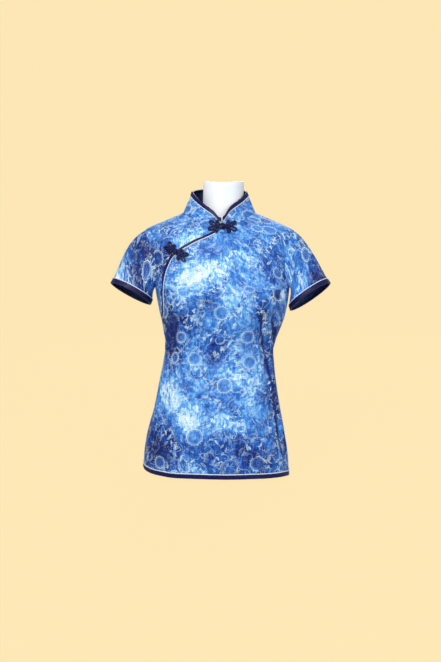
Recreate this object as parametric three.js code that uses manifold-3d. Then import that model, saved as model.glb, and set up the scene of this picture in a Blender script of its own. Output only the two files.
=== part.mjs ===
// Short-sleeved qipao top with a stand collar, worn by a limbless dress form.
// Millimetres. Z is up, the front faces -Y, and +X is the wearer's left.
// The origin is on the floor, near the middle of the form's flat underside. The tables and
// functions measure heights from the middle of the front hem, which is STAND above the floor.
import * as THREE from 'three';
import * as BufferGeometryUtils from 'three/addons/utils/BufferGeometryUtils.js';
import Module from 'manifold-3d';

const wasm = await Module();
wasm.setup();

// Driving sizes of the garment
const CLOTH = 1.2;
const SEAM = 0.3;
const STAND = 15.5;
const UNDERARM_Z = 434;
const SHOULDER_Z = 564;
const NECK_SIDE_Z = 605;
const NECK_FRONT_Z = 563;
const NECK_BACK_Z = 607;
const NECK_HALF = 83;
const NECK_SCOOP = 1.3;
const ARMHOLE_FRONT = 29;
const ARMHOLE_BACK = 24;

// Driving sizes of the trims: how far a binding reaches over the cloth, and the piping beside it
const TRIM = 1.0;
const LIE = 0.45;
const HEM_BINDING = 8.5;
const CUFF_BINDING = 9;
const COLLAR_BINDING = 8;
const WRAP_BINDING = 5.4;
const BINDING_BACK = 4;
const PIPING = 2;
const PIPING_RISE = 1.5;

// Driving sizes of the dress form
const FORM_TOP_Z = 672;
const NECK_WIDE = 46.5;
const NECK_SHIFT = 4.5;
const NECK_DEEP = 43;
const NECK_FORWARD = 1;
const NECK_RIM_RISE = 6;
const NECK_BACK_FALL = 12;
const NECK_LEAN = 3;
const NECK_LEAN_Z = 585;
const NECK_FLARE = 9;
const NECK_FLARE_Z = 580;
const NECK_FLARE_FALL = 11;
const NECK_FLARE_DEEP = 0.35;
const NECK_DISH = 4;
const ARM_PLATE = 160;
const ARM_PLATE_ROOM = 14;
const ARM_PLATE_LOW = 394;
const FORM_LOW = 14;
const FOOT_HALF = 118;
const FOOT_DEEP = 58;
const FOOT_BACK = 14;
const FOOT_ROUND = 2.4;

// Cross-sections of the bodice: half width, depth in front of and behind the side seam, sideways
// shift, roundness (2 is an ellipse) and the ease between the cloth and the form
const BODY = [
  { z: 0, half: 174, front: 110, back: 110, shift: -11, round: 2.35, ease: 9 },
  { z: 50, half: 170, front: 109, back: 110, shift: -11, round: 2.35, ease: 8 },
  { z: 100, half: 161, front: 106, back: 107, shift: -10, round: 2.35, ease: 7 },
  { z: 150, half: 149, front: 100, back: 101, shift: -8, round: 2.3, ease: 7 },
  { z: 211, half: 138, front: 93, back: 92, shift: -7, round: 2.25, ease: 7 },
  { z: 260, half: 130, front: 88, back: 84, shift: -4, round: 2.2, ease: 7 },
  { z: 295, half: 127, front: 87, back: 80, shift: -2, round: 2.2, ease: 7 },
  { z: 323, half: 133, front: 90, back: 80, shift: 1, round: 2.2, ease: 6 },
  { z: 351, half: 141, front: 95, back: 83, shift: 4, round: 2.2, ease: 5 },
  { z: 375, half: 147, front: 99, back: 86, shift: 5, round: 2.2, ease: 4 },
  { z: 403, half: 152, front: 103, back: 90, shift: 5, round: 2.2, ease: 3 },
  { z: 434, half: 156, front: 104, back: 93, shift: 4, round: 2.2, ease: 2 },
  { z: 470, half: 160, front: 101, back: 95, shift: 2, round: 2.2, ease: 2 },
  { z: 510, half: 168, front: 93, back: 95, shift: 0, round: 2.15, ease: 1.8 },
  { z: 540, half: 173, front: 83, back: 90, shift: -2, round: 2.1, ease: 1.6 },
  { z: 564, half: 172, front: 70, back: 83, shift: -3, round: 2, ease: 1.4 },
  { z: 573, half: 157, front: 63, back: 79, shift: -4, round: 2, ease: 0.9 },
  { z: 582, half: 137, front: 55, back: 75, shift: -3, round: 2, ease: 0.8 },
  { z: 591, half: 115, front: 45, back: 71, shift: -2.5, round: 2, ease: 0.8 },
  { z: 600, half: 94, front: 33, back: 65, shift: -2.5, round: 2, ease: 0.8 },
  { z: 605, half: 83, front: 26, back: 62, shift: -2.5, round: 2, ease: 0.8 },
  { z: 613, half: 66, front: 18, back: 56, shift: -2.5, round: 2, ease: 0.8 },
];

// Soft fullness of the cut that the form shares: where it is, how wide, and how far it stands out
const FULLNESS = [
  { name: 'bust_right', turn: -37, z: 418, wide: 48, tall: 52, rise: 13 },
  { name: 'bust_left', turn: 37, z: 418, wide: 48, tall: 52, rise: 13 },
  { name: 'shoulder_blade_right', turn: -145, z: 480, wide: 60, tall: 70, rise: 5 },
  { name: 'shoulder_blade_left', turn: 145, z: 480, wide: 60, tall: 70, rise: 5 },
];

// Folds and darts of the cloth alone: a line from start to end, its width and its depth.
// Turn is measured round the body from the middle of the front, towards the wearer's left.
const FOLDS = [
  { name: 'left_dart', turn0: 51, z0: 392, turn1: 60, z1: 250, wide: 11, depth: -4 },
  { name: 'left_dart_lower', turn0: 60, z0: 250, turn1: 65, z1: 62, wide: 14, depth: -5 },
  { name: 'left_side_ridge', turn0: 68, z0: 350, turn1: 76, z1: 60, wide: 14, depth: 3.5 },
  { name: 'left_underarm_drag', turn0: 62, z0: 422, turn1: 78, z1: 426, wide: 9, depth: -2 },
  { name: 'right_dart', turn0: -48, z0: 385, turn1: -60, z1: 180, wide: 12, depth: -3.5 },
  { name: 'right_side_ridge', turn0: -70, z0: 330, turn1: -66, z1: 60, wide: 15, depth: 3 },
  { name: 'right_waist', turn0: -80, z0: 300, turn1: -52, z1: 288, wide: 9, depth: 2.5 },
  { name: 'left_waist', turn0: 82, z0: 306, turn1: 58, z1: 292, wide: 9, depth: 2.5 },
  { name: 'front_hem_wave', turn0: -22, z0: 210, turn1: -28, z1: 0, wide: 24, depth: 3.5 },
  { name: 'front_hem_hollow', turn0: 20, z0: 190, turn1: 26, z1: 0, wide: 24, depth: -3.5 },
  { name: 'back_dart_left', turn0: 142, z0: 400, turn1: 146, z1: 170, wide: 13, depth: -3.5 },
  { name: 'back_dart_right', turn0: -142, z0: 400, turn1: -146, z1: 170, wide: 13, depth: -3.5 },
  { name: 'back_waist', turn0: 118, z0: 318, turn1: 165, z1: 300, wide: 10, depth: 3 },
  { name: 'back_waist_low', turn0: -112, z0: 292, turn1: -160, z1: 308, wide: 10, depth: 3 },
  { name: 'back_hem_wave', turn0: 168, z0: 190, turn1: 160, z1: 0, wide: 28, depth: 4 },
];

// Height of the hem round the body, from the right side seam by the front to the right side seam
const HEM = [
  { turn: -90, z: 12 },
  { turn: -68, z: 6.5 },
  { turn: -40, z: 6 },
  { turn: 0, z: 7 },
  { turn: 40, z: 3 },
  { turn: 68, z: -4 },
  { turn: 90, z: -12 },
  { turn: 120, z: -6 },
  { turn: 180, z: 3 },
  { turn: 240, z: 9 },
  { turn: 270, z: 12 },
];

// The wrap edge of the front, from the middle of the collar to the side under the right arm
const WRAP_EDGE = [
  { x: 6, z: 567 },
  { x: -24, z: 552 },
  { x: -56, z: 538 },
  { x: -87, z: 520 },
  { x: -106, z: 502 },
  { x: -118, z: 476 },
  { x: -124, z: 450 },
  { x: -126, z: 424 },
  { x: -126, z: 398 },
  { x: -128, z: 374 },
  { x: -141, z: 350 },
];

// The sleeves: middle, size and slope of the cuff, how far the sleeve points forward, and how
// steeply its top leaves the shoulder
const SLEEVES = [
  {
    name: 'right', side: -1, x: -209, y: -6, z: 419, wide: 52, deep: 42, slope: 28, forward: 18, top: 26,
  },
  {
    name: 'left', side: 1, x: 208, y: -6, z: 413, wide: 55, deep: 42, slope: 35, forward: 18, top: 36,
  },
];
const SLEEVE_UNDER_SLOPE = 42;

// The stand collar: height along its slope, and how far it leans in for each step up
const COLLAR = [
  { turn: 0, height: 26, lean: 0.3 },
  { turn: 6, height: 31, lean: 0.3 },
  { turn: 13, height: 39.5, lean: 0.3 },
  { turn: 22, height: 44, lean: 0.31 },
  { turn: 45, height: 46, lean: 0.36 },
  { turn: 90, height: 50, lean: 0.44 },
  { turn: 135, height: 53, lean: 0.3 },
  { turn: 180, height: 55, lean: 0.06 },
];
const COLLAR_MEET = 1.8;

// How far round to the wearer's left of the middle the collar opens, in degrees
const COLLAR_ASIDE = 6.5;

// How far behind the side seam the block that parts the front from its underlap ends
const WRAP_CUT_BACK = 5;

// Flower frogs of cord: middle, tilt, size, and the clearance of the loop half and the knot half
const CORD = 3.9;
const FROG_FLOWERS = 12;
const FROGS = [
  { name: 'collar', x: 7, z: 573, tilt: -1, size: 1, loop: 1.1, knot: 0.2 },
  { name: 'wrap', x: -95, z: 517, tilt: -32, size: 0.9, loop: 0.9, knot: 2.6 },
];
const KNOT = 5.6;
const COIL = 5.6;
const COIL_FLAT = 0.62;
const THROAT_BEND = 120;
const THROAT_RISE = 0.5;
const PETAL_NARROW = 0.45;
const LINK = 3;
const LINK_LONG = 2;

// The loops of one half of a frog
const PETALS = [
  { turn: 92, long: 11.5, wide: 7.5 },
  { turn: 32, long: 19.5, wide: 8 },
  { turn: -22, long: 20, wide: 8.5 },
  { turn: -80, long: 13.5, wide: 8 },
];

// Share of its half width by which the body measures one radian round its front
const ROUND_SHARE = 0.85;

// Steps over which the slope of the cloth is measured, in degrees and millimetres
const SLOPE_TURN = 0.4;
const SLOPE_RISE = 0.6;

// Mesh fineness
const PANEL_COLUMNS = 24;
const LOWER_ROWS = 14;
const ARMHOLE_STEPS = 10;
const SHOULDER_ROWS = 4;
const SLEEVE_ROWS = 7;
const COLLAR_COLUMNS = 36;
const COLLAR_ROWS = 3;
const FORM_COLUMNS = 28;
const CORD_SIDES = 5;
const PETAL_STEPS = 11;

// Colours
const PRINT = { color: 0x5f93d8, roughness: 0.55, metalness: 0 };
const NAVY = { color: 0x14184f, roughness: 0.4, metalness: 0 };
const SILVER = { color: 0xdfe6ee, roughness: 0.35, metalness: 0.1 };
const WHITE = { color: 0xeef1f4, roughness: 0.6, metalness: 0 };

const group = new THREE.Group();
const radians = THREE.MathUtils.degToRad;
const clamp = THREE.MathUtils.clamp;
const lerp = THREE.MathUtils.lerp;

function addNode(name, geometry, look) {
  const mesh = new THREE.Mesh(geometry, new THREE.MeshStandardMaterial(look));
  mesh.name = name;
  group.add(mesh);
}

// Smooth value of one named column of a table, at a place along another column
function tableAt(table, along, column, place) {
  const last = table.length - 1;
  const at = clamp(place, table[0][along], table[last][along]);
  let k = 0;
  while (k < last - 1 && at > table[k + 1][along]) k += 1;
  const slope = (i) => {
    const low = table[Math.max(i - 1, 0)];
    const high = table[Math.min(i + 1, last)];
    return (high[column] - low[column]) / (high[along] - low[along]);
  };
  const step = table[k + 1][along] - table[k][along];
  const t = (at - table[k][along]) / step;
  const rise = table[k + 1][column] - table[k][column];
  const curve = (slope(k) + slope(k + 1)) * step - 2 * rise;
  const bend = 3 * rise - (2 * slope(k) + slope(k + 1)) * step;
  return table[k][column] + t * (slope(k) * step + t * (bend + t * curve));
}

const bodyAt = (column, z) => tableAt(BODY, 'z', column, z);

const turnBetween = (from, to) => ((to - from) % 360 + 540) % 360 - 180;

// How far a point lies from a fold's line, in widths, with the round-the-body angle as a length
function foldProfile(fold, turn, z) {
  const around = bodyAt('half', z) * radians(1) * ROUND_SHARE;
  const from0 = turnBetween(fold.turn0, turn);
  const dx = (fold.turn1 - fold.turn0) * around;
  const dz = fold.z1 - fold.z0;
  const px = from0 * around;
  const pz = z - fold.z0;
  const t = clamp((px * dx + pz * dz) / (dx * dx + dz * dz), 0, 1);
  const away = Math.hypot(px - t * dx, pz - t * dz) / fold.wide;
  const taper = 0.25 + 0.75 * Math.sin(Math.PI * clamp(0.1 + 0.8 * t, 0, 1));
  return taper * Math.exp(-away * away);
}

function fullnessAt(turn, z) {
  let out = 0;
  for (const spot of FULLNESS) {
    const around = bodyAt('half', z) * radians(1) * ROUND_SHARE;
    const across = turnBetween(spot.turn, turn) * around / spot.wide;
    const up = (z - spot.z) / spot.tall;
    out += spot.rise * Math.exp(-across * across - up * up);
  }
  return out;
}

function foldsAt(turn, z) {
  let out = 0;
  for (const fold of FOLDS) out += fold.depth * foldProfile(fold, turn, z);
  return out;
}

// A point of the body's surface at an angle from the middle of the front and a height
function bodyPoint(turn, z, creased) {
  const power = 2 / bodyAt('round', z);
  const sine = Math.sin(radians(turn));
  const cosine = Math.cos(radians(turn));
  const across = Math.sign(sine) * Math.abs(sine) ** power;
  const along = Math.sign(cosine) * Math.abs(cosine) ** power;
  const depth = cosine > 0 ? bodyAt('front', z) : bodyAt('back', z);
  const out = fullnessAt(turn, z) + (creased ? foldsAt(turn, z) : 0);
  const x = bodyAt('half', z) * across + out * across + bodyAt('shift', z);
  return new THREE.Vector3(x, -(depth + out) * along, z);
}

// Outward direction of any surface given by a function of two values
function outward(surface, u, v, stepU, stepV) {
  const du = surface(u + stepU, v).sub(surface(u - stepU, v));
  const dv = surface(u, v + stepV).sub(surface(u, v - stepV));
  return du.cross(dv).normalize();
}

const clothSurface = (turn, z) => bodyPoint(turn, z, true);
const formSurface = (turn, z) => bodyPoint(turn, z, false);

// A point of the cloth moved out along the outward direction
function clothPoint(turn, z, out) {
  const normal = outward(clothSurface, turn, z, SLOPE_TURN, SLOPE_RISE);
  return clothSurface(turn, z).addScaledVector(normal, out);
}

// The angle of a point of the front that lies at x
function frontTurn(x, z) {
  let low = -89.5;
  let high = 89.5;
  for (let k = 0; k < 40; k += 1) {
    const middle = (low + high) / 2;
    if (bodyPoint(middle, z, true).x < x) low = middle;
    else high = middle;
  }
  return (low + high) / 2;
}

// The neck edge: height and angle of its point, with 0 the middle front and 180 the middle back
function neckEdge(turn) {
  const sine = Math.abs(Math.sin(radians(turn)));
  const front = Math.cos(radians(turn)) >= 0;
  const middle = front ? NECK_FRONT_Z : NECK_BACK_Z;
  const z = middle + (NECK_SIDE_Z - middle) * sine ** NECK_SCOOP;
  const reach = clamp(NECK_HALF * sine / bodyAt('half', z), 0, 1);
  const inner = THREE.MathUtils.radToDeg(Math.asin(reach));
  return { z, turn: Math.sign(Math.sin(radians(turn))) * (front ? inner : 180 - inner) };
}

// Heights of the armhole's points, from the underarm to the shoulder
function armholeHeight(step) {
  const rise = (1 - Math.cos(Math.PI * step / ARMHOLE_STEPS)) / 2;
  return lerp(UNDERARM_Z, SHOULDER_Z, rise);
}

// How far the armhole cuts into the front or the back, in degrees, at one of its steps
function armholeCut(step, depth) {
  return depth * Math.sin(Math.PI * clamp(step / ARMHOLE_STEPS, 0, 1)) ** 0.8;
}

const hemHeight = (turn) => tableAt(HEM, 'turn', 'z', turn < -90 ? turn + 360 : turn);

// The angle and height of a point of the front or back panel. Across runs from -1 to 1
// and row from 0 at the hem to the neck edge.
const PANEL_ROWS = LOWER_ROWS + ARMHOLE_STEPS + SHOULDER_ROWS;
function panelPlace(across, row, isFront) {
  const full = 90 * across;
  const depth = isFront ? bodyAt('front', UNDERARM_Z) : bodyAt('back', UNDERARM_Z);
  const seam = THREE.MathUtils.radToDeg(SEAM / 2 / depth);
  let turn = full;
  let z;
  if (row <= LOWER_ROWS) {
    z = lerp(hemHeight(isFront ? full : 180 - full), UNDERARM_Z, row / LOWER_ROWS);
  } else {
    const step = row - LOWER_ROWS;
    const edgeZ = step <= ARMHOLE_STEPS ? armholeHeight(step)
      : lerp(SHOULDER_Z, NECK_SIDE_Z, (step - ARMHOLE_STEPS) / SHOULDER_ROWS);
    const rise = (edgeZ - UNDERARM_Z) / (NECK_SIDE_Z - UNDERARM_Z);
    const top = neckEdge(isFront ? full : 180 - full);
    const topTurn = isFront ? top.turn : Math.sign(full) * 180 - top.turn;
    const innerTurn = full === 0 ? 0 : topTurn;
    const cut = armholeCut(step, isFront ? ARMHOLE_FRONT : ARMHOLE_BACK);
    z = lerp(UNDERARM_Z, top.z, rise);
    turn = lerp(full, innerTurn, rise * rise) * (90 - cut) / 90;
  }
  const slack = row > LOWER_ROWS + ARMHOLE_STEPS ? seam * 4 : seam * 1.6;
  turn = clamp(turn, -90 + slack, 90 - slack);
  return { turn: isFront ? turn : 180 - turn, z };
}

function signedVolume(points, faces) {
  let sum = 0;
  for (const [a, b, c] of faces) {
    sum += points[a].dot(points[b].clone().cross(points[c]));
  }
  return sum / 6;
}

// A closed body from points and faces, turned to face outwards
function closedBody(points, faces) {
  const turned = signedVolume(points, faces) < 0;
  const index = [];
  for (const [a, b, c] of faces) index.push(...(turned ? [a, c, b] : [a, b, c]));
  const geometry = new THREE.BufferGeometry();
  const flat = points.flatMap((p) => [p.x, p.y, p.z]);
  geometry.setAttribute('position', new THREE.Float32BufferAttribute(flat, 3));
  geometry.setIndex(index);
  geometry.computeVertexNormals();
  return geometry;
}

// A wall of cloth: place(row, column, out) gives the points of its outer and inner face
function wall(rows, columns, round, place) {
  const across = round ? columns : columns + 1;
  const points = [];
  const faces = [];
  for (const out of [0, -CLOTH]) {
    for (let i = 0; i <= rows; i += 1) {
      for (let j = 0; j < across; j += 1) points.push(place(i, j, out));
    }
  }
  const layer = (rows + 1) * across;
  const at = (i, j, k) => k * layer + i * across + (round ? j % columns : j);
  const quad = (a, b, c, d) => faces.push([a, b, c], [a, c, d]);
  for (let i = 0; i < rows; i += 1) {
    for (let j = 0; j < columns; j += 1) {
      quad(at(i, j, 0), at(i, j + 1, 0), at(i + 1, j + 1, 0), at(i + 1, j, 0));
      quad(at(i, j, 1), at(i + 1, j, 1), at(i + 1, j + 1, 1), at(i, j + 1, 1));
    }
  }
  for (let j = 0; j < columns; j += 1) {
    quad(at(0, j, 0), at(0, j, 1), at(0, j + 1, 1), at(0, j + 1, 0));
    quad(at(rows, j, 0), at(rows, j + 1, 0), at(rows, j + 1, 1), at(rows, j, 1));
  }
  if (!round) {
    for (let i = 0; i < rows; i += 1) {
      quad(at(i, 0, 0), at(i + 1, 0, 0), at(i + 1, 0, 1), at(i, 0, 1));
      quad(at(i, columns, 0), at(i, columns, 1), at(i + 1, columns, 1), at(i + 1, columns, 0));
    }
  }
  return closedBody(points, faces);
}

// A strip along an edge: each stop is a function that gives the point at a distance into the
// panel and a distance outwards, and the profile is a list of such distances
function strip(stops, profile, round) {
  const points = [];
  const faces = [];
  const count = stops.length;
  const sides = profile.length;
  for (const stop of stops) {
    for (const [into, out] of profile) points.push(stop(into, out));
  }
  for (let k = 0; k < (round ? count : count - 1); k += 1) {
    for (let s = 0; s < sides; s += 1) {
      const a = k * sides + s;
      const b = k * sides + (s + 1) % sides;
      const c = ((k + 1) % count) * sides + (s + 1) % sides;
      const d = ((k + 1) % count) * sides + s;
      faces.push([a, b, c], [a, c, d]);
    }
  }
  if (!round) {
    const contour = profile.map(([into, out]) => new THREE.Vector2(into, out));
    const caps = THREE.ShapeUtils.triangulateShape(contour, []);
    const end = (count - 1) * sides;
    const anticlockwise = !THREE.ShapeUtils.isClockWise(contour);
    for (const [a, b, c] of caps) {
      const first = anticlockwise ? [a, c, b] : [a, b, c];
      faces.push(first);
      faces.push([end + first[0], end + first[2], end + first[1]]);
    }
  }
  return closedBody(points, faces);
}

// A binding folded over an edge, and the flat band or piping that lies on the cloth beside it
function foldedProfile(reach) {
  const over = LIE + TRIM;
  const under = -CLOTH - 2 * LIE;
  return [
    [reach, LIE], [reach, over], [-over, over], [-over, under - TRIM],
    [BINDING_BACK, under - TRIM], [BINDING_BACK, under], [-LIE, under], [-LIE, LIE],
  ];
}

const bandProfile = (from, to) => [[from, LIE], [to, LIE], [to, LIE + TRIM], [from, LIE + TRIM]];

function pipingProfile(from) {
  const top = LIE + PIPING_RISE;
  const shoulder = LIE + PIPING_RISE * 0.55;
  const to = from + PIPING;
  return [
    [from, LIE], [to, LIE], [to, shoulder], [to - PIPING * 0.3, top],
    [from + PIPING * 0.3, top], [from, shoulder],
  ];
}

// Stops along an edge from its points and outward directions
function stopsAlong(points, outs) {
  return points.map((point, k) => {
    const before = points[Math.max(k - 1, 0)];
    const after = points[Math.min(k + 1, points.length - 1)];
    const along = after.clone().sub(before).normalize();
    const into = outs[k].clone().cross(along).normalize();
    return (inside, out) => point.clone().addScaledVector(into, inside).addScaledVector(outs[k], out);
  });
}

// Three.js geometry to a manifold solid and back
function toSolid(geometry) {
  const bare = geometry.clone();
  bare.deleteAttribute('normal');
  bare.deleteAttribute('uv');
  const merged = BufferGeometryUtils.mergeVertices(bare, 1e-4);
  return new wasm.Manifold(new wasm.Mesh({
    numProp: 3,
    vertProperties: new Float32Array(merged.attributes.position.array),
    triVerts: new Uint32Array(merged.index.array),
  }));
}

function toGeometry(solid) {
  const mesh = solid.getMesh();
  const geometry = new THREE.BufferGeometry();
  geometry.setAttribute('position', new THREE.BufferAttribute(mesh.vertProperties, 3));
  geometry.setIndex(new THREE.BufferAttribute(mesh.triVerts, 1));
  geometry.computeVertexNormals();
  return geometry;
}

// The smooth wrap edge, in x and z
function wrapPath(steps) {
  const knots = WRAP_EDGE.map((row) => new THREE.Vector3(row.x, 0, row.z));
  return new THREE.CatmullRomCurve3(knots, false, 'centripetal').getSpacedPoints(steps);
}

// The region above and outside the wrap edge, as a block to cut the front with, grown by a margin
function wrapCutter(margin) {
  const path = wrapPath(34);
  const shape = new THREE.Shape();
  path.forEach((p, k) => {
    const before = path[Math.max(k - 1, 0)];
    const after = path[Math.min(k + 1, path.length - 1)];
    const along = after.clone().sub(before).normalize();
    const x = p.x - along.z * margin;
    const z = p.z + along.x * margin;
    if (k === 0) shape.moveTo(x, z);
    else shape.lineTo(x, z);
  });
  const last = path[path.length - 1];
  const first = path[0];
  const farX = -300;
  const farZ = 700;
  const fall = 60;
  shape.lineTo(farX, last.z - fall);
  shape.lineTo(farX, farZ);
  shape.lineTo(first.x + margin, farZ);
  const block = new THREE.ExtrudeGeometry(shape, { depth: WRAP_CUT_BACK - farX, bevelEnabled: false });
  block.rotateX(Math.PI / 2);
  block.translate(0, WRAP_CUT_BACK, 0);
  return toSolid(block);
}

function addPanels() {
  const panel = (isFront) => wall(PANEL_ROWS, PANEL_COLUMNS, false, (i, j, out) => {
    const place = panelPlace(lerp(-1, 1, j / PANEL_COLUMNS), i, isFront);
    return clothPoint(place.turn, place.z, out);
  });
  const front = toSolid(panel(true));
  const main = front.subtract(wrapCutter(SEAM / 2));
  const under = front.intersect(wrapCutter(-SEAM / 2));
  addNode('front_panel', toGeometry(main), PRINT);
  addNode('front_underlap', toGeometry(under), PRINT);
  addNode('back_panel', panel(false), PRINT);
}

// Binding and piping on the wrap edge, lying on the cloth
function addWrapTrim() {
  const path = wrapPath(30).slice(2, -2);
  const places = path.map((p) => ({ turn: frontTurn(p.x, p.z), z: p.z }));
  const points = places.map((p) => clothPoint(p.turn, p.z, 0));
  const outs = places.map((p) => outward(clothSurface, p.turn, p.z, SLOPE_TURN, SLOPE_RISE));
  const stops = stopsAlong(points, outs);
  addNode('wrap_binding', strip(stops, bandProfile(-WRAP_BINDING, 0), false), NAVY);
  addNode('wrap_piping', strip(stops, pipingProfile(SEAM), false), SILVER);
}

// Binding and piping round the hem, in a front and a back length
function addHems() {
  for (const isFront of [true, false]) {
    const stops = [];
    for (let j = 0; j <= PANEL_COLUMNS; j += 1) {
      const place = panelPlace(lerp(-1, 1, j / PANEL_COLUMNS), 0, isFront);
      stops.push((into, out) => clothPoint(place.turn, place.z + into, out));
    }
    const name = isFront ? 'front_hem' : 'back_hem';
    addNode(name + '_binding', strip(stops, foldedProfile(HEM_BINDING), false), NAVY);
    addNode(name + '_piping', strip(stops, pipingProfile(HEM_BINDING + SEAM), false), SILVER);
  }
}

// The armhole's point at an angle round the arm: 0 at the shoulder, 180 under the arm,
// below zero in front
function armholePoint(side, around) {
  const step = ARMHOLE_STEPS * (1 - Math.abs(around) / 180);
  const isFront = around < 0;
  const cut = armholeCut(step, isFront ? ARMHOLE_FRONT : ARMHOLE_BACK);
  const turn = side * (isFront ? 90 - cut : 90 + cut);
  return clothPoint(turn, armholeHeight(step), 0);
}

function cuffFrame(sleeve) {
  const slope = radians(sleeve.slope);
  const forward = radians(sleeve.forward);
  const up = new THREE.Vector3(sleeve.side * Math.cos(slope), 0, Math.sin(slope));
  const axis = new THREE.Vector3(sleeve.side * Math.sin(slope), 0, -Math.cos(slope));
  axis.multiplyScalar(Math.cos(forward)).add(new THREE.Vector3(0, -Math.sin(forward), 0));
  const deep = new THREE.Vector3(0, 1, 0);
  deep.addScaledVector(axis, -deep.dot(axis)).normalize();
  return { up, axis, deep, middle: new THREE.Vector3(sleeve.x, sleeve.y, sleeve.z) };
}

// A point of a sleeve: angle round the arm, and 0 at the armhole to 1 at the cuff
function sleevePoint(sleeve, around, along) {
  const frame = cuffFrame(sleeve);
  const angle = radians(around);
  const under = (1 - Math.cos(angle)) / 2;
  const slope = radians(lerp(sleeve.top, SLEEVE_UNDER_SLOPE, under));
  const leave = new THREE.Vector3(sleeve.side * Math.cos(slope), 0, -Math.sin(slope));
  const start = armholePoint(sleeve.side, around).addScaledVector(leave, SEAM);
  const end = frame.middle.clone()
    .addScaledVector(frame.up, sleeve.wide * Math.cos(angle))
    .addScaledVector(frame.deep, sleeve.deep * Math.sin(angle));
  const reach = start.distanceTo(end);
  const t = along;
  const point = start.multiplyScalar((1 + 2 * t) * (1 - t) ** 2);
  point.addScaledVector(leave, reach * t * (1 - t) ** 2);
  point.addScaledVector(end, t * t * (3 - 2 * t));
  return point.addScaledVector(frame.axis, reach * t * t * (t - 1));
}

function sleeveLength(sleeve, around) {
  return sleevePoint(sleeve, around, 0).distanceTo(sleevePoint(sleeve, around, 1));
}

function sleeveOut(sleeve, around, along) {
  const surface = (u, v) => sleevePoint(sleeve, (u + 540) % 360 - 180, v);
  const normal = outward(surface, around, along, 0.5, 0.01);
  return normal.multiplyScalar(-sleeve.side);
}

function addSleeves() {
  const columns = 2 * ARMHOLE_STEPS;
  const aroundAt = (j) => -180 + 360 * (j % columns) / columns;
  for (const sleeve of SLEEVES) {
    const geometry = wall(SLEEVE_ROWS, columns, true, (i, j, out) => {
      const around = aroundAt(j);
      const last = 1 - (CUFF_BINDING + TRIM) / sleeveLength(sleeve, around);
      const along = i === SLEEVE_ROWS ? 1 : last * i / (SLEEVE_ROWS - 1);
      const normal = sleeveOut(sleeve, around, clamp(along, 0.01, 0.99));
      return sleevePoint(sleeve, around, along).addScaledVector(normal, out);
    });
    addNode('sleeve_' + sleeve.name, geometry, PRINT);
    const stops = [];
    for (let j = 0; j < columns; j += 1) {
      const around = aroundAt(j);
      const reach = sleeveLength(sleeve, around);
      stops.push((into, out) => {
        const inside = Math.max(into, 0) / reach;
        const normal = sleeveOut(sleeve, around, 0.99 - inside);
        const point = sleevePoint(sleeve, around, 1 - inside).addScaledVector(normal, out);
        return point.addScaledVector(cuffFrame(sleeve).axis, Math.max(-into, 0));
      });
    }
    addNode('cuff_binding_' + sleeve.name, strip(stops, foldedProfile(CUFF_BINDING), true), NAVY);
    addNode('cuff_piping_' + sleeve.name, strip(stops, pipingProfile(CUFF_BINDING + SEAM), true), SILVER);
  }
}

// A point of the collar: angle round the neck from its opening, and height along its slope
function collarPoint(turn, height) {
  const away = Math.abs(((turn + 180) % 360 + 360) % 360 - 180);
  const aside = turn + COLLAR_ASIDE * (1 + Math.cos(radians(turn))) / 2;
  const edge = neckEdge(aside);
  const base = bodyPoint(edge.turn, edge.z, false);
  const lean = tableAt(COLLAR, 'turn', 'lean', away);
  const inwards = new THREE.Vector3(-Math.sin(radians(aside)), Math.cos(radians(aside)), 0);
  const rise = new THREE.Vector3(0, 0, 1).addScaledVector(inwards, lean).normalize();
  return base.addScaledVector(rise, height + SEAM * 2);
}

function collarOut(turn, height) {
  return outward(collarPoint, turn, height, 0.5, 0.5);
}

const collarHeight = (turn) => tableAt(COLLAR, 'turn', 'height', Math.min(turn, 360 - turn));

function addCollar() {
  const start = THREE.MathUtils.radToDeg(Math.asin(COLLAR_MEET / NECK_HALF));
  const turnAt = (j) => {
    const t = 2 * j / COLLAR_COLUMNS - 1;
    const eased = Math.sign(t) * (1 - (1 - Math.abs(t)) ** 1.35);
    return 180 + (180 - start) * eased;
  };
  const geometry = wall(COLLAR_ROWS, COLLAR_COLUMNS, false, (i, j, out) => {
    const turn = turnAt(j);
    const height = collarHeight(turn) * i / COLLAR_ROWS;
    return collarPoint(turn, height).addScaledVector(collarOut(turn, height), out);
  });
  addNode('collar', geometry, PRINT);
  const stops = [];
  for (let j = 0; j <= COLLAR_COLUMNS; j += 1) {
    const turn = turnAt(j);
    const top = collarHeight(turn);
    stops.push((into, out) => {
      const height = top - into;
      return collarPoint(turn, height).addScaledVector(collarOut(turn, height), out);
    });
  }
  addNode('collar_binding', strip(stops, foldedProfile(COLLAR_BINDING), false), NAVY);
  addNode('collar_piping', strip(stops, pipingProfile(COLLAR_BINDING + SEAM), false), SILVER);
}

// A round cord that closes on itself, along points with a direction away from the cloth
function cordLoop(points, outs) {
  const count = points.length;
  const vertices = [];
  const faces = [];
  for (let k = 0; k < count; k += 1) {
    const along = points[(k + 1) % count].clone().sub(points[(k + count - 1) % count]).normalize();
    const side = outs[k].clone().cross(along).normalize();
    for (let s = 0; s < CORD_SIDES; s += 1) {
      const angle = 2 * Math.PI * (s + 0.5) / CORD_SIDES;
      vertices.push(points[k].clone()
        .addScaledVector(side, CORD / 2 * Math.cos(angle))
        .addScaledVector(outs[k], CORD / 2 * Math.sin(angle)));
    }
    for (let s = 0; s < CORD_SIDES; s += 1) {
      const next = ((k + 1) % count) * CORD_SIDES;
      const a = k * CORD_SIDES + s;
      const b = k * CORD_SIDES + (s + 1) % CORD_SIDES;
      faces.push([a, b, next + (s + 1) % CORD_SIDES], [a, next + (s + 1) % CORD_SIDES, next + s]);
    }
  }
  return closedBody(vertices, faces);
}

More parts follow.
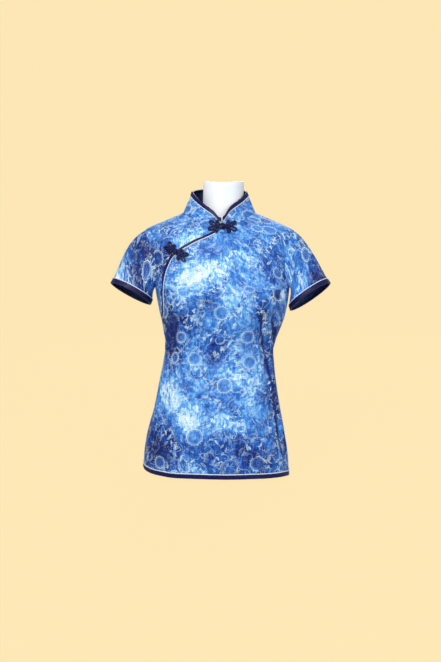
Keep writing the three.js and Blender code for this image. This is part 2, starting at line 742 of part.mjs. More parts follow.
// How far forward the collar or the panel below it reaches at a place on the throat
function throatDepth(x, z) {
  const aside = clamp((x - bodyAt('shift', NECK_FRONT_Z)) / NECK_HALF, -1, 1);
  const turn = THREE.MathUtils.radToDeg(Math.asin(aside));
  const edge = neckEdge(turn);
  if (z < edge.z) return bodyPoint(frontTurn(x, z), z, false).y;
  return collarPoint(turn - COLLAR_ASIDE, z - edge.z).y;
}

// A point over the cloth near a frog, from sizes along and across the frog
function frogPlace(frog, along, across, lift) {
  const clear = along < 0 ? frog.loop : frog.knot;
  const cosine = frog.size * Math.cos(radians(frog.tilt));
  const sine = frog.size * Math.sin(radians(frog.tilt));
  const x = frog.x + along * cosine - across * sine;
  const z = frog.z + along * sine + across * cosine;
  if (frog.name === 'wrap') {
    const turn = frontTurn(x, z);
    return {
      point: clothPoint(turn, z, clear + lift),
      out: outward(clothSurface, turn, z, SLOPE_TURN, SLOPE_RISE),
    };
  }
  const out = new THREE.Vector3((x - frog.x) / THROAT_BEND, -1, THROAT_RISE).normalize();
  let y = 0;
  for (const aside of [-4, 0, 4]) {
    for (const above of [-4, 0, 4]) {
      y = Math.min(y, throatDepth(x + aside, z + above) - above * THROAT_RISE);
    }
  }
  return { point: new THREE.Vector3(x, y, z).addScaledVector(out, clear + lift), out };
}

// Half of a frog: four loops of cord round a coiled middle
function frogHalf(frog, side) {
  const middle = side * FROG_FLOWERS;
  let solid = null;
  for (const petal of PETALS) {
    const direction = radians(petal.turn);
    const points = [];
    const outs = [];
    for (let k = 0; k < PETAL_STEPS; k += 1) {
      const angle = 2 * Math.PI * k / PETAL_STEPS;
      const reach = petal.long * (1 - Math.cos(angle)) / 2;
      const swell = lerp(PETAL_NARROW, 1, reach / petal.long);
      const swing = petal.wide / 2 * Math.sin(angle) * swell;
      const along = reach * Math.cos(direction) - swing * Math.sin(direction);
      const across = reach * Math.sin(direction) + swing * Math.cos(direction);
      const place = frogPlace(frog, middle + side * along, across, CORD / 2);
      points.push(place.point);
      outs.push(place.out);
    }
    const loop = toSolid(cordLoop(points, outs));
    solid = solid ? solid.add(loop) : loop;
  }
  const coil = new THREE.SphereGeometry(COIL, 9, 6);
  coil.scale(1, 1, COIL_FLAT);
  const seat = frogPlace(frog, middle, 0, CORD * 0.75);
  coil.applyQuaternion(new THREE.Quaternion().setFromUnitVectors(new THREE.Vector3(0, 0, 1), seat.out));
  coil.translate(seat.point.x, seat.point.y, seat.point.z);
  return solid.add(toSolid(coil));
}

function addFrogs() {
  for (const frog of FROGS) {
    for (const side of [-1, 1]) {
      const name = 'frog_' + frog.name + (side < 0 ? '_loop' : '_knot');
      let solid = frogHalf(frog, side);
      if (side > 0) {
        const ball = new THREE.SphereGeometry(KNOT, 9, 7);
        const seat = frogPlace(frog, 0.6, 0, KNOT);
        ball.translate(seat.point.x, seat.point.y, seat.point.z);
        const stem = frogPlace(frog, FROG_FLOWERS / 2, 0, CORD / 2 + 0.4);
        const link = new THREE.SphereGeometry(LINK, 6, 5);
        link.scale(LINK_LONG, 1, 1);
        link.rotateY(-radians(frog.tilt));
        link.translate(stem.point.x, stem.point.y, stem.point.z);
        solid = solid.add(toSolid(ball)).add(toSolid(link));
      }
      addNode(name, toGeometry(solid), NAVY);
    }
  }
}

// A closed body from a stack of rings of equal count, with flat or dished ends
function stack(rings, dish) {
  const count = rings[0].length;
  const points = rings.flat();
  const faces = [];
  for (let i = 0; i < rings.length - 1; i += 1) {
    for (let j = 0; j < count; j += 1) {
      const next = (j + 1) % count;
      faces.push([i * count + j, i * count + next, (i + 1) * count + next]);
      faces.push([i * count + j, (i + 1) * count + next, (i + 1) * count + j]);
    }
  }
  for (const [ring, sink, isTop] of [[0, 0, false], [rings.length - 1, dish, true]]) {
    const middle = new THREE.Vector3();
    rings[ring].forEach((p) => middle.addScaledVector(p, 1 / count));
    middle.z -= sink;
    points.push(middle);
    for (let j = 0; j < count; j += 1) {
      const a = ring * count + j;
      const b = ring * count + (j + 1) % count;
      faces.push(isTop ? [a, b, points.length - 1] : [b, a, points.length - 1]);
    }
  }
  return closedBody(points, faces);
}

// The dress form: a smooth torso with arm plates and a neck, on a low foot with a flat underside
function addForm() {
  const heights = [FORM_LOW, 45, 90, 140, 190, 240, 270, 300, 330, 360, 390, 420, 450, 480, 510, 533, 550,
    562, 573, 582, 591, 598];
  const armPlate = (x) => {
    const start = ARM_PLATE - ARM_PLATE_ROOM;
    const past = Math.abs(x) - start;
    return past <= 0 ? x : Math.sign(x) * (start + ARM_PLATE_ROOM * Math.tanh(past / ARM_PLATE_ROOM));
  };
  const rings = heights.map((z) => {
    const ring = [];
    for (let j = 0; j < FORM_COLUMNS; j += 1) {
      const turn = 360 * (j + 0.5) / FORM_COLUMNS - 180;
      const normal = outward(formSurface, turn, z, SLOPE_TURN, SLOPE_RISE);
      const point = formSurface(turn, z).addScaledVector(normal, -CLOTH - bodyAt('ease', z));
      const shift = bodyAt('shift', z);
      if (z > ARM_PLATE_LOW) point.x = shift + armPlate(point.x - shift);
      if (z === FORM_LOW) point.z = z;
      ring.push(point);
    }
    return ring;
  });
  const neckRings = [];
  for (const z of [545, 570, 585, 600, 612, 628, 650, FORM_TOP_Z]) {
    const flare = NECK_FLARE * Math.exp(-Math.max(z - NECK_FLARE_Z, 0) / NECK_FLARE_FALL);
    const tall = (z - NECK_LEAN_Z) / (FORM_TOP_Z - NECK_LEAN_Z);
    const ring = [];
    for (let j = 0; j < FORM_COLUMNS; j += 1) {
      const turn = radians(360 * (j + 0.5) / FORM_COLUMNS);
      const back = (1 - Math.cos(turn)) / 2;
      const slant = NECK_RIM_RISE * Math.sin(turn) ** 2 - NECK_BACK_FALL * back ** 2;
      const rise = z === FORM_TOP_Z ? slant : 0;
      const shift = NECK_SHIFT + NECK_LEAN * clamp(tall, 0, 1);
      const x = shift + (NECK_WIDE + flare) * Math.sin(turn);
      const y = -(NECK_DEEP + flare * NECK_FLARE_DEEP) * Math.cos(turn) - NECK_FORWARD;
      ring.push(new THREE.Vector3(x, y, z + rise));
    }
    neckRings.push(ring);
  }
  const footRings = [-STAND, FORM_LOW + 6].map((z) => {
    const ring = [];
    for (let j = 0; j < FORM_COLUMNS; j += 1) {
      const turn = radians(360 * (j + 0.5) / FORM_COLUMNS);
      const across = Math.sign(Math.sin(turn)) * Math.abs(Math.sin(turn)) ** (2 / FOOT_ROUND);
      const along = Math.sign(Math.cos(turn)) * Math.abs(Math.cos(turn)) ** (2 / FOOT_ROUND);
      const shift = bodyAt('shift', 0);
      ring.push(new THREE.Vector3(shift + FOOT_HALF * across, FOOT_BACK - FOOT_DEEP * along, z));
    }
    return ring;
  });
  const torso = toSolid(stack(rings, 0));
  const neck = toSolid(stack(neckRings, NECK_DISH));
  const foot = toSolid(stack(footRings, 0));
  addNode('dress_form', toGeometry(torso.add(neck).add(foot)), WHITE);
}

addPanels();
addSleeves();
addCollar();
addWrapTrim();
addHems();
addFrogs();
addForm();
group.position.z = STAND;

export default group;
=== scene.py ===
import math
from contextlib import contextmanager

import bmesh
import bpy
import numpy as np
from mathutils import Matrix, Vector


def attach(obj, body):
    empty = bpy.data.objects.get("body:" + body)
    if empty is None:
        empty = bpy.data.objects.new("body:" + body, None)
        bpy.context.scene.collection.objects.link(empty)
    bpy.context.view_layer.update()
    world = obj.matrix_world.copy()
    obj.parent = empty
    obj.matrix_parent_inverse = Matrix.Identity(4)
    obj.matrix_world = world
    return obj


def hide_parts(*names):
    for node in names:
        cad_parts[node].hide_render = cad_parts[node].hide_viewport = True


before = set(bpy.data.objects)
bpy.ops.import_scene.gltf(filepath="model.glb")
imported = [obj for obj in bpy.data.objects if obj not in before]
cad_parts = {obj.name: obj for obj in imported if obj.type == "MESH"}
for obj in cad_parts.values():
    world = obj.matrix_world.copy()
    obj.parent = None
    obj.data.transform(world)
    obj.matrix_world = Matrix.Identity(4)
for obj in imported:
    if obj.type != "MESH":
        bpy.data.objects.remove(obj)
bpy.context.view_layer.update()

# Lengths in the tables and functions are millimetres, and meshes are made in metres. Heights are
# measured from the middle of the front hem, which is STAND above the floor.
MM = 0.001
STAND = 15.5

# Sizes of the garment. CLOTH is the wall that is drawn and WALL that of the solids. Pieces are kept
# apart by SEAM_GAP millimetres, or SEAM_SLACK degrees at the side seams. GIRTH_SHARE is the length
# round the body's section for each radian, as a share of its half width.
CLOTH = 1.1
WALL = 1.2
SEAM_GAP = 0.3
SEAM_SLACK = 0.02
GIRTH_SHARE = 0.85
UNDERARM_Z = 434
SHOULDER_Z = 564
NECK_SIDE_Z = 605
NECK_FRONT_Z = 563
NECK_BACK_Z = 607
NECK_HALF = 83
NECK_SCOOP = 1.3
ARMHOLE_FRONT = 29
ARMHOLE_BACK = 24
SLEEVE_UNDER_SLOPE = 42
SLEEVE_LONG = 120
SLEEVE_GIRTH = 0.9
COLLAR_MEET = 1.8
COLLAR_ASIDE = 6.5

# Sizes of the bindings and pipings: how far they lie off the cloth, thickness and widths
LIE = 0.4
TRIM = 1.0
TURNED_IN = 4
HEM_BINDING = 8.5
CUFF_BINDING = 9
COLLAR_BINDING = 8
WRAP_BINDING = 5.4
PIPING = 2.1
PIPING_RISE = 1.5
PIPING_GAP = 0.3
STITCH_INSET = 0.9
STITCH_STEP = 2.7
STITCH_LONG = 1.7
STITCH_THICK = 0.34

# Fineness of the meshes. Panels have rows below the underarm, beside the armhole and on the shoulder.
LOWER_ROWS, ARMHOLE_ROWS, SHOULDER_ROWS = 118, 44, 12
PANEL_COLUMNS = 140
SLEEVE_ROWS, SLEEVE_COLUMNS = 46, 132
COLLAR_UP, COLLAR_AROUND = 22, 300
HEM_STEPS, CUFF_STEPS, COLLAR_TRIM_STEPS, WRAP_STEPS = 260, 168, 320, 190
FORM_AROUND = 144
FLOOR_AROUND = 64
SHARP_ANGLE = 55

# Cross-sections of the bodice: height, half width, depth in front and behind, sideways shift,
# roundness and the ease between the cloth and the form
BODY_COLUMNS = ("z", "half", "front", "back", "shift", "round", "ease")
BODY = (
    (0, 174, 110, 110, -11, 2.35, 9),
    (50, 170, 109, 110, -11, 2.35, 8),
    (100, 161, 106, 107, -10, 2.35, 7),
    (150, 149, 100, 101, -8, 2.3, 7),
    (211, 138, 93, 92, -7, 2.25, 7),
    (260, 130, 88, 84, -4, 2.2, 7),
    (295, 127, 87, 80, -2, 2.2, 7),
    (323, 133, 90, 80, 1, 2.2, 6),
    (351, 141, 95, 83, 4, 2.2, 5),
    (375, 147, 99, 86, 5, 2.2, 4),
    (403, 152, 103, 90, 5, 2.2, 3),
    (434, 156, 104, 93, 4, 2.2, 2),
    (470, 160, 101, 95, 2, 2.2, 2),
    (510, 168, 93, 95, 0, 2.15, 1.8),
    (540, 173, 83, 90, -2, 2.1, 1.6),
    (564, 172, 70, 83, -3, 2, 1.4),
    (573, 157, 63, 79, -4, 2, 0.9),
    (582, 137, 55, 75, -3, 2, 0.8),
    (591, 115, 45, 71, -2.5, 2, 0.8),
    (600, 94, 33, 65, -2.5, 2, 0.8),
    (605, 83, 26, 62, -2.5, 2, 0.8),
    (613, 66, 18, 56, -2.5, 2, 0.8),
)

# Soft fullness of the cut that the form shares: turn, height, width, tallness and rise
FULLNESS = (
    ("bust_right", -37, 418, 48, 52, 13),
    ("bust_left", 37, 418, 48, 52, 13),
    ("shoulder_blade_right", -145, 480, 60, 70, 5),
    ("shoulder_blade_left", 145, 480, 60, 70, 5),
)

# Main folds of the cloth, as the solids have them: start turn and height, end turn and height,
# width and depth
FOLDS = (
    ("left_dart", 51, 392, 60, 250, 11, -4),
    ("left_dart_lower", 60, 250, 65, 62, 14, -5),
    ("left_side_ridge", 68, 350, 76, 60, 14, 3.5),
    ("left_underarm_drag", 62, 422, 78, 426, 9, -2),
    ("right_dart", -48, 385, -60, 180, 12, -3.5),
    ("right_side_ridge", -70, 330, -66, 60, 15, 3),
    ("right_waist", -80, 300, -52, 288, 9, 2.5),
    ("left_waist", 82, 306, 58, 292, 9, 2.5),
    ("front_hem_wave", -22, 210, -28, 0, 24, 3.5),
    ("front_hem_hollow", 20, 190, 26, 0, 24, -3.5),
    ("back_dart_left", 142, 400, 146, 170, 13, -3.5),
    ("back_dart_right", -142, 400, -146, 170, 13, -3.5),
    ("back_waist", 118, 318, 165, 300, 10, 3),
    ("back_waist_low", -112, 292, -160, 308, 10, 3),
    ("back_hem_wave", 168, 190, 160, 0, 28, 4),
)

# Finer creases, each placed one by one in the same columns
CREASES = (
    ("left_dart_crease", 34, 388, 40, 328, 2.6, -2.4),
    ("left_dart_crease_waist", 40, 328, 55, 268, 2.6, -2.6),
    ("left_dart_crease_hip", 55, 268, 59, 190, 2.8, -3.0),
    ("left_dart_crease_low", 59, 190, 58, 50, 3.0, -3.2),
    ("left_dart_edge", 54, 372, 65, 200, 4.5, 1.9),
    ("left_dart_edge_low", 66, 196, 70, 60, 4.5, 1.6),
    ("left_side_groove", 49, 378, 67, 314, 4.0, -3.8),
    ("left_side_groove_low", 80, 290, 83, 190, 4, -1.6),
    ("left_side_pucker", 71, 152, 80, 106, 4.0, -3.4),
    ("left_side_pucker_edge", 70, 138, 76, 60, 5, 2.2),
    ("left_side_pucker_low", 77, 110, 81, 50, 4, -2.2),
    ("left_underarm_dark", 64, 434, 50, 414, 4.5, -3.4),
    ("left_underarm_light", 70, 426, 56, 408, 4, 2.3),
    ("left_underarm_second", 76, 410, 62, 402, 4.5, -1.6),
    ("left_bust_drag", 66, 396, 44, 392, 6, -1.0),
    ("left_armhole_pull", 58, 470, 50, 448, 6, -1.2),
    ("right_underarm_drag", -76, 412, -60, 402, 5, -1.7),
    ("right_underarm_light", -74, 402, -62, 392, 4.5, 1.3),
    ("right_wrap_pull", -56, 470, -50, 420, 6, -1.1),
    ("right_dart_crease", -49, 376, -57, 250, 3.0, -2.0),
    ("right_waist_dip", -84, 312, -64, 300, 5, -1.5),
    ("right_waist_low", -80, 280, -58, 274, 5, -1.2),
    ("right_waist_high", -84, 334, -68, 322, 5, 1.1),
    ("left_waist_dip", 84, 318, 66, 306, 5, -1.5),
    ("left_waist_low", 82, 282, 62, 272, 5, -1.2),
    ("left_waist_high", 80, 342, 68, 330, 5, 1.0),
    ("front_waist_soft", -20, 306, 16, 300, 12, -1.0),
    ("front_waist_second", -34, 282, -8, 276, 9, 0.9),
    ("front_waist_third", 8, 274, 34, 284, 9, 0.8),
    ("front_drape_one", -36, 250, -44, 60, 9, 1.4),
    ("front_drape_two", -10, 200, -8, 30, 11, -1.3),
    ("front_drape_three", 6, 170, 8, 20, 10, 1.2),
    ("front_drape_four", 36, 220, 42, 50, 9, -1.3),
    ("front_chest_left", 30, 520, 46, 470, 9, -0.9),
    ("front_chest_right", -12, 520, -30, 470, 9, -0.7),
    ("left_shoulder_pull", 60, 558, 40, 536, 6, -0.9),
    ("right_shoulder_pull", -58, 552, -46, 524, 6, -0.9),
    ("front_hem_pucker_one", -58, 60, -62, 20, 6, -1.3),
    ("front_hem_pucker_two", 50, 54, 53, 18, 6, 1.1),
    ("back_dart_crease_left", 141, 390, 146, 180, 3.2, -1.3),
    ("back_dart_crease_right", -141, 388, -146, 184, 3.2, -1.3),
    ("back_waist_ridge_one", 112, 302, 150, 288, 6, 1.6),
    ("back_waist_ridge_two", -118, 316, -156, 300, 6, 1.5),
    ("back_waist_trough_one", 130, 330, 172, 314, 7, -1.5),
    ("back_waist_trough_two", -126, 280, -170, 286, 7, -1.3),
    ("back_drape_one", 158, 220, 152, 30, 11, 1.6),
    ("back_drape_two", -164, 210, -166, 30, 12, -1.5),
    ("back_drape_three", 128, 180, 124, 40, 10, -1.4),
    ("back_drape_four", -128, 190, -124, 40, 10, 1.4),
    ("back_underarm_left", 106, 412, 122, 398, 6, -1.6),
    ("back_underarm_right", -106, 414, -124, 402, 6, -1.6),
    ("back_shoulder_left", 128, 560, 138, 520, 8, -0.9),
    ("back_shoulder_right", -128, 560, -138, 520, 8, -0.9),
)

# Creases of the sleeves: angle round the arm and place along it, from start to end, in degrees
# and shares of the sleeve, with width and depth
SLEEVE_CREASES = (
    ("cap_front", -52, 0.02, -30, 0.34, 9, -1.2),
    ("cap_back", 56, 0.02, 34, 0.36, 9, -1.2),
    ("front_drag", -112, 0.10, -62, 0.62, 8, -1.6),
    ("front_drag_light", -98, 0.06, -52, 0.50, 7, 1.3),
    ("front_low", -132, 0.30, -100, 0.82, 7, -1.3),
    ("back_drag", 116, 0.10, 66, 0.66, 8, -1.6),
    ("back_drag_light", 100, 0.08, 58, 0.52, 7, 1.2),
    ("back_low", 136, 0.28, 104, 0.84, 7, -1.2),
    ("top_soft", -12, 0.34, -4, 0.86, 11, 0.9),
    ("cuff_front", -70, 0.66, -64, 0.92, 8, -0.9),
)

# The wrap edge of the front in x and z, from the middle of the collar to the side
WRAP_EDGE = (
    (6, 567), (-24, 552), (-56, 538), (-87, 520), (-106, 502), (-118, 476),
    (-124, 450), (-126, 424), (-126, 398), (-128, 374), (-141, 350),
)

# Height of the hem round the body, from the right side seam by the front to the right side seam
HEM_COLUMNS = ("turn", "z")
HEM = (
    (-90, 12), (-68, 6.5), (-40, 6), (0, 7), (40, 3), (68, -4),
    (90, -12), (120, -6), (180, 3), (240, 9), (270, 12),
)

# The sleeves: middle, size and slope of the cuff, how far the sleeve points forward, and how
# steeply its top leaves the shoulder
SLEEVES = {
    "right": dict(side=-1, x=-209, y=-6, z=419, wide=52, deep=42, slope=28, forward=18, top=26),
    "left": dict(side=1, x=208, y=-6, z=413, wide=55, deep=42, slope=35, forward=18, top=36),
}

# The stand collar: angle from the middle front, height along its slope, and how far it leans in
COLLAR_COLUMNS = ("turn", "height", "lean")
COLLAR = (
    (0, 26, 0.3),
    (6, 31, 0.3),
    (13, 39.5, 0.3),
    (22, 44, 0.31),
    (45, 46, 0.36),
    (90, 50, 0.44),
    (135, 53, 0.3),
    (180, 55, 0.06),
)

# Flower frogs: middle, tilt, size, clearance of each half, and the loops of one half
CORD = 3.9
FINE_CORD = 1.35
FROG_FLOWERS = 12
KNOT = 5.6
THROAT_BEND = 120
THROAT_SLOPE = 0.5
FROGS = (
    dict(name="collar", x=7, z=573, tilt=-1, size=1.0, loop=1.1, knot=0.2),
    dict(name="wrap", x=-95, z=517, tilt=-32, size=0.9, loop=0.9, knot=2.6),
)
PETALS = (
    dict(turn=92, long=11.5, wide=7.5),
    dict(turn=32, long=19.5, wide=8),
    dict(turn=-22, long=20, wide=8.5),
    dict(turn=-80, long=13.5, wide=8),
)

# Dress form. The steps of the neck's top are how far below it and how far inwards each ring is.
FORM_TOP_Z = 672
NECK_TOP = ((2.2, 0.3), (0.8, 1.0), (0, 2.6), (0.2, 5.0), (1.0, 12.0), (2.0, 26.0))
NECK_MIDDLE = 46
NECK_WIDE = 46.5
NECK_SHIFT = 4.5
NECK_DEEP = 43
NECK_FORWARD = 1
NECK_RIM_RISE = 6
NECK_BACK_FALL = 12
NECK_LEAN = 3
NECK_LEAN_Z = 585
NECK_SLANT_Z = 650
NECK_FLARE = 9
NECK_FLARE_Z = 580
NECK_FLARE_FADE = 11
ARM_PLATE = 160
ARM_ROUND = 14
FORM_LOW = 14
FOOT_HALF = 118
FOOT_DEEP = 58
FOOT_BACK = 14
FOOT_ROUND = 2.4

# Cut of each piece of cloth that shows: width, length and flat area, in metres
SHEETS = {
    "front_panel": (0.465, 0.64, 0.215),
    "front_underlap": (0.2, 0.28, 0.0223),
    "back_panel": (0.465, 0.65, 0.24),
    "sleeve_right": (0.37, 0.15, 0.0305),
    "sleeve_left": (0.37, 0.15, 0.0302),
    "collar": (0.47, 0.055, 0.0201),
}

# Camera: angles in degrees, distance and the height that it points at
CAMERA_AZIMUTH = 2.0
CAMERA_ELEVATION = 7.6
CAMERA_DISTANCE = 1800
CAMERA_AIM_Z = 330
PHOTO_TALL = 662
FOCAL_PIXELS = 766
SENSOR = 36

# Clouds of dyed colour, some of them painted shade and painted highlight of folds and turned-away sides:
# place across and up the cut piece, width, height, and how pale or dark
DYE_AND_SHADE = {
    "front_panel": (
        ("pale_chest", -62, 462, 46, 34, 0.7),
        ("pale_chest_edge", -14, 478, 40, 22, 0.3),
        ("mid_chest_left", 60, 440, 60, 60, 0.12),
        ("pale_right_hip", -122, 186, 30, 44, 0.6),
        ("pale_right_low", -62, 128, 34, 40, 0.62),
        ("pale_left_low", 22, 126, 36, 18, 0.5),
        ("pale_left_waist", 40, 240, 30, 44, 0.34),
        ("pale_collar_left", 62, 520, 40, 30, 0.3),
        ("pale_left_hip", 88, 214, 22, 44, 0.3),
        ("pale_bust_left", 46, 392, 46, 26, 0.22),
        ("pale_waist_right", -62, 250, 26, 34, 0.26),
        # Painted shade: the side below the right arm, turned away from the light
        ("painted_shade_right_waist", -124, 330, 36, 66, -0.95),
        ("dark_right_hem", -136, 62, 62, 60, -0.85),
        ("dark_middle_waist", -6, 298, 44, 40, -0.2),
        ("dark_left_hem", 96, 44, 52, 52, -0.5),
        ("dark_bust", -24, 394, 34, 26, -0.2),
        # Painted shade along the left dart and the left side that turns away, and a painted highlight
        # beside the dark of the left underarm fold
        ("painted_shade_left_side", 158, 300, 30, 90, -0.6),
        ("painted_shade_left_dart_top", 98, 380, 12, 18, -0.6),
        ("painted_shade_left_waist", 128, 290, 14, 34, -0.35),
        ("painted_shade_left_underarm", 134, 430, 14, 13, -1.1),
        ("painted_highlight_left_underarm", 160, 434, 13, 14, 0.7),
        ("painted_shade_left_hip", 166, 196, 16, 60, -0.6),
        ("painted_shade_left_low", 190, 70, 12, 56, -0.5),
        ("dark_left_shoulder", 128, 520, 44, 34, -0.2),
        ("dark_middle_low", -2, 62, 34, 40, -0.32),
        ("dark_left_bust", 92, 432, 26, 40, -0.15),
    ),
    "front_underlap": (
        ("dark_shoulder", -146, 524, 44, 40, -0.75),
        ("pale_neck", -70, 560, 40, 30, 0.35),
    ),
    "back_panel": (
        ("pale_blade_left", 70, 470, 60, 44, 0.45),
        ("pale_low_right", -70, 120, 50, 44, 0.5),
        ("pale_middle", 10, 380, 60, 34, 0.3),
        ("pale_hip_left", 110, 190, 34, 50, 0.5),
        ("pale_neck_right", -60, 560, 40, 30, 0.25),
        ("dark_waist", -20, 290, 90, 48, -0.5),
        ("dark_hem_left", 90, 50, 70, 50, -0.5),
        ("dark_side_right", -150, 320, 40, 90, -0.55),
        ("dark_blade_right", -90, 480, 46, 40, -0.35),
    ),
    "sleeve_right": (
        ("dark_cap", -60, 30, 60, 44, -0.7), ("pale_front", -24, 112, 34, 24, 0.4),
        ("pale_back", 90, 60, 50, 34, 0.3),
    ),
    "sleeve_left": (
        ("dark_cap", 30, 30, 60, 34, -0.5), ("pale_front", -84, 60, 34, 30, 0.4),
        ("dark_cuff", -30, 116, 70, 40, -0.75), ("pale_back", 80, 70, 50, 34, 0.3),
    ),
    "collar": (("pale_left", 60, 20, 50, 30, 0.35), ("dark_right", -60, 20, 40, 30, -0.3)),
}

# Painted shade along the lines of folds and darts: places across and up, width and depth of colour
SHADE_FADE = 14
SHADES = {"front_panel": (
    (((86, 392), (96, 330), (121, 275), (143, 220), (157, 154), (163, 92), (180, 30)), 3.4, -1.0),
    (((120, 380), (134, 350), (150, 312)), 4.6, -1.2),
    (((176, 112), (186, 96), (192, 40)), 3.6, -0.8),
    (((-96, 376), (-112, 330), (-124, 270)), 4.2, -0.5),
)}

# Where each piece was cut from the printed length of cloth, so that no two match
CUT_FROM = {
    "front_panel": (0, 0), "back_panel": (900, 120), "sleeve_right": (1500, 60),
    "sleeve_left": (1900, 340), "collar": (300, 900), "front_underlap": (37, 611),
}

# Colours of the dyed cotton from dark to pale
BLUES = (
    (0.06, "#0d246c"), (0.20, "#173f94"), (0.33, "#2862b8"), (0.45, "#4083d6"),
    (0.56, "#60a8ec"), (0.68, "#a2daf8"), (0.80, "#effbff"),
)

# Soft lamps in metres and watts: place, width and height, power and colour
LIGHTS = (
    ("key_soft", (-0.9, -2.4, 1.9), (1.1, 1.1), 55, (1.0, 0.99, 0.98)),
    ("fill_soft", (2.0, -1.8, 0.9), (1.4, 1.8), 18, (0.95, 0.98, 1.0)),
    ("back_soft", (0.4, 2.3, 1.9), (2.0, 1.4), 33, (1.0, 0.99, 0.98)),
)
LIGHT_AIM = (0, 0, 0.33)
SKY_COLOUR = (0.93, 0.96, 1.0, 1)
SKY_STRENGTH = 0.46
FLOOR_RADIUS = 3000
FLOOR_GAP = 0.2
COVE = 1200
WALL_TOP = 4200


def placed(name, data):
    """A new object of the scene."""
    thing = bpy.data.objects.new(name, data)
    bpy.context.scene.collection.objects.link(thing)
    return thing


def aimed(thing, place, aim):
    """Puts a camera or a light in its place and turns it towards a point."""
    thing.location = place
    thing.rotation_euler = (Vector(aim) - Vector(place)).to_track_quat("-Z", "Y").to_euler()


def add_camera():
    data = bpy.data.cameras.new("photo_camera")
    data.sensor_width = SENSOR
    data.lens = SENSOR * FOCAL_PIXELS / PHOTO_TALL
    data.clip_end = 50
    turn, tilt = math.radians(CAMERA_AZIMUTH), math.radians(CAMERA_ELEVATION)
    away = Vector((math.sin(turn) * math.cos(tilt), -math.cos(turn) * math.cos(tilt), math.sin(tilt)))
    aim = Vector((0, 0, (CAMERA_AIM_Z + STAND) * MM))
    camera = placed("photo_camera", data)
    aimed(camera, aim + away * CAMERA_DISTANCE * MM, aim)
    bpy.context.scene.camera = camera


add_camera()


# Smooth surfaces that the cloth, the trims and the form share

class Table:
    """Smooth values of a table's columns along its first column."""

    def __init__(self, names, rows):
        self.values = dict(zip(names, np.array(rows, float).T))
        self.along = self.values[names[0]]

    def at(self, name, place):
        x, y = self.along, self.values[name]
        slope = np.empty_like(y)
        slope[1:-1] = (y[2:] - y[:-2]) / (x[2:] - x[:-2])
        slope[0] = (y[1] - y[0]) / (x[1] - x[0])
        slope[-1] = (y[-1] - y[-2]) / (x[-1] - x[-2])
        p = np.clip(place, x[0], x[-1])
        k = np.clip(np.searchsorted(x, p, side="right") - 1, 0, len(x) - 2)
        step = x[k + 1] - x[k]
        t = (p - x[k]) / step
        rise = y[k + 1] - y[k]
        curve = (slope[k] + slope[k + 1]) * step - 2 * rise
        bend = 3 * rise - (2 * slope[k] + slope[k + 1]) * step
        return y[k] + t * (slope[k] * step + t * (bend + t * curve))


body = Table(BODY_COLUMNS, BODY)
hem_table = Table(HEM_COLUMNS, HEM)
collar_table = Table(COLLAR_COLUMNS, COLLAR)


def turn_between(start, end):
    return (end - start + 540) % 360 - 180


def unit(v):
    return v / np.maximum(np.linalg.norm(v, axis=-1, keepdims=True), 1e-9)


def stacked(*parts):
    """Points from numbers or arrays of x, y and z."""
    return np.stack(np.broadcast_arrays(*parts), -1)


def eased(t):
    return t * t * (3 - 2 * t)


def outward(surface, u, v, step_u, step_v):
    du = surface(u + step_u, v) - surface(u - step_u, v)
    dv = surface(u, v + step_v) - surface(u, v - step_v)
    return unit(np.cross(du, dv))


def relief(table, turn, place, around, length, least, start):
    """Sum of the soft troughs and ridges of a table: around is millimetres for a degree and length
    millimetres for a step of place. Each fades towards its ends, down to a least share."""
    out = np.zeros(np.broadcast(turn, place).shape)
    for _, turn0, place0, turn1, place1, wide, depth in table:
        dx, dz = (turn1 - turn0) * around, (place1 - place0) * length
        px, pz = turn_between(turn0, turn) * around, (place - place0) * length
        t = np.clip((px * dx + pz * dz) / (dx * dx + dz * dz), 0, 1)
        away = np.hypot(px - t * dx, pz - t * dz) / wide
        fade = least + (1 - least) * np.sin(np.pi * np.clip(start + (1 - 2 * start) * t, 0, 1))
        out = out + depth * fade * np.exp(-away * away)
    return out


def fullness(turn, z):
    out = 0
    for _, at_turn, at_z, wide, tall, rise in FULLNESS:
        across = turn_between(at_turn, turn) * np.radians(body.at("half", z)) * GIRTH_SHARE / wide
        up = (z - at_z) / tall
        out = out + rise * np.exp(-across * across - up * up)
    return out


def soft_wobble(turn, z):
    """Slight unevenness of worn cloth, fading out at the seams of the shoulder."""
    a = np.radians(turn)
    waves = np.sin(5 * a + z / 31) + np.sin(9 * a - z / 23 + 1.3) + np.sin(3 * a + z / 17 + 2.1)
    fine = np.sin(17 * a + z / 11) * np.sin(z / 13 + 3 * a)
    fade = np.clip((540 - z) / 60, 0.25, 1)
    return fade * (0.22 * waves + 0.16 * fine)


def round_section(turn, roundness):
    """Sideways and forward shares of a rounded section: 2 is an ellipse, and more is squarer."""
    sine, cosine = np.sin(np.radians(turn)), np.cos(np.radians(turn))
    power = 2 / roundness
    return np.sign(sine) * np.abs(sine) ** power, np.sign(cosine) * np.abs(cosine) ** power


def body_point(turn, z, creased=True):
    """Points of the body's surface, at angles from the middle front and heights."""
    turn, z = np.asarray(turn, float), np.asarray(z, float)
    across, along = round_section(turn, body.at("round", z))
    depth = np.where(np.cos(np.radians(turn)) > 0, body.at("front", z), body.at("back", z))
    out = fullness(turn, z)
    if creased:
        around = body.at("half", z) * math.radians(1) * GIRTH_SHARE
        out = out + relief(FOLDS + CREASES, turn, z, around, 1, 0.25, 0.1) + soft_wobble(turn, z)
    x = (body.at("half", z) + out) * across + body.at("shift", z)
    return stacked(x, -(depth + out) * along, z)


def body_out(turn, z):
    return outward(body_point, turn, z, 0.4, 0.6)


def form_surface(turn, z):
    return body_point(turn, z, creased=False)


def cloth_point(turn, z, out):
    return body_point(turn, z) + body_out(turn, z) * np.asarray(out, float)[..., None]


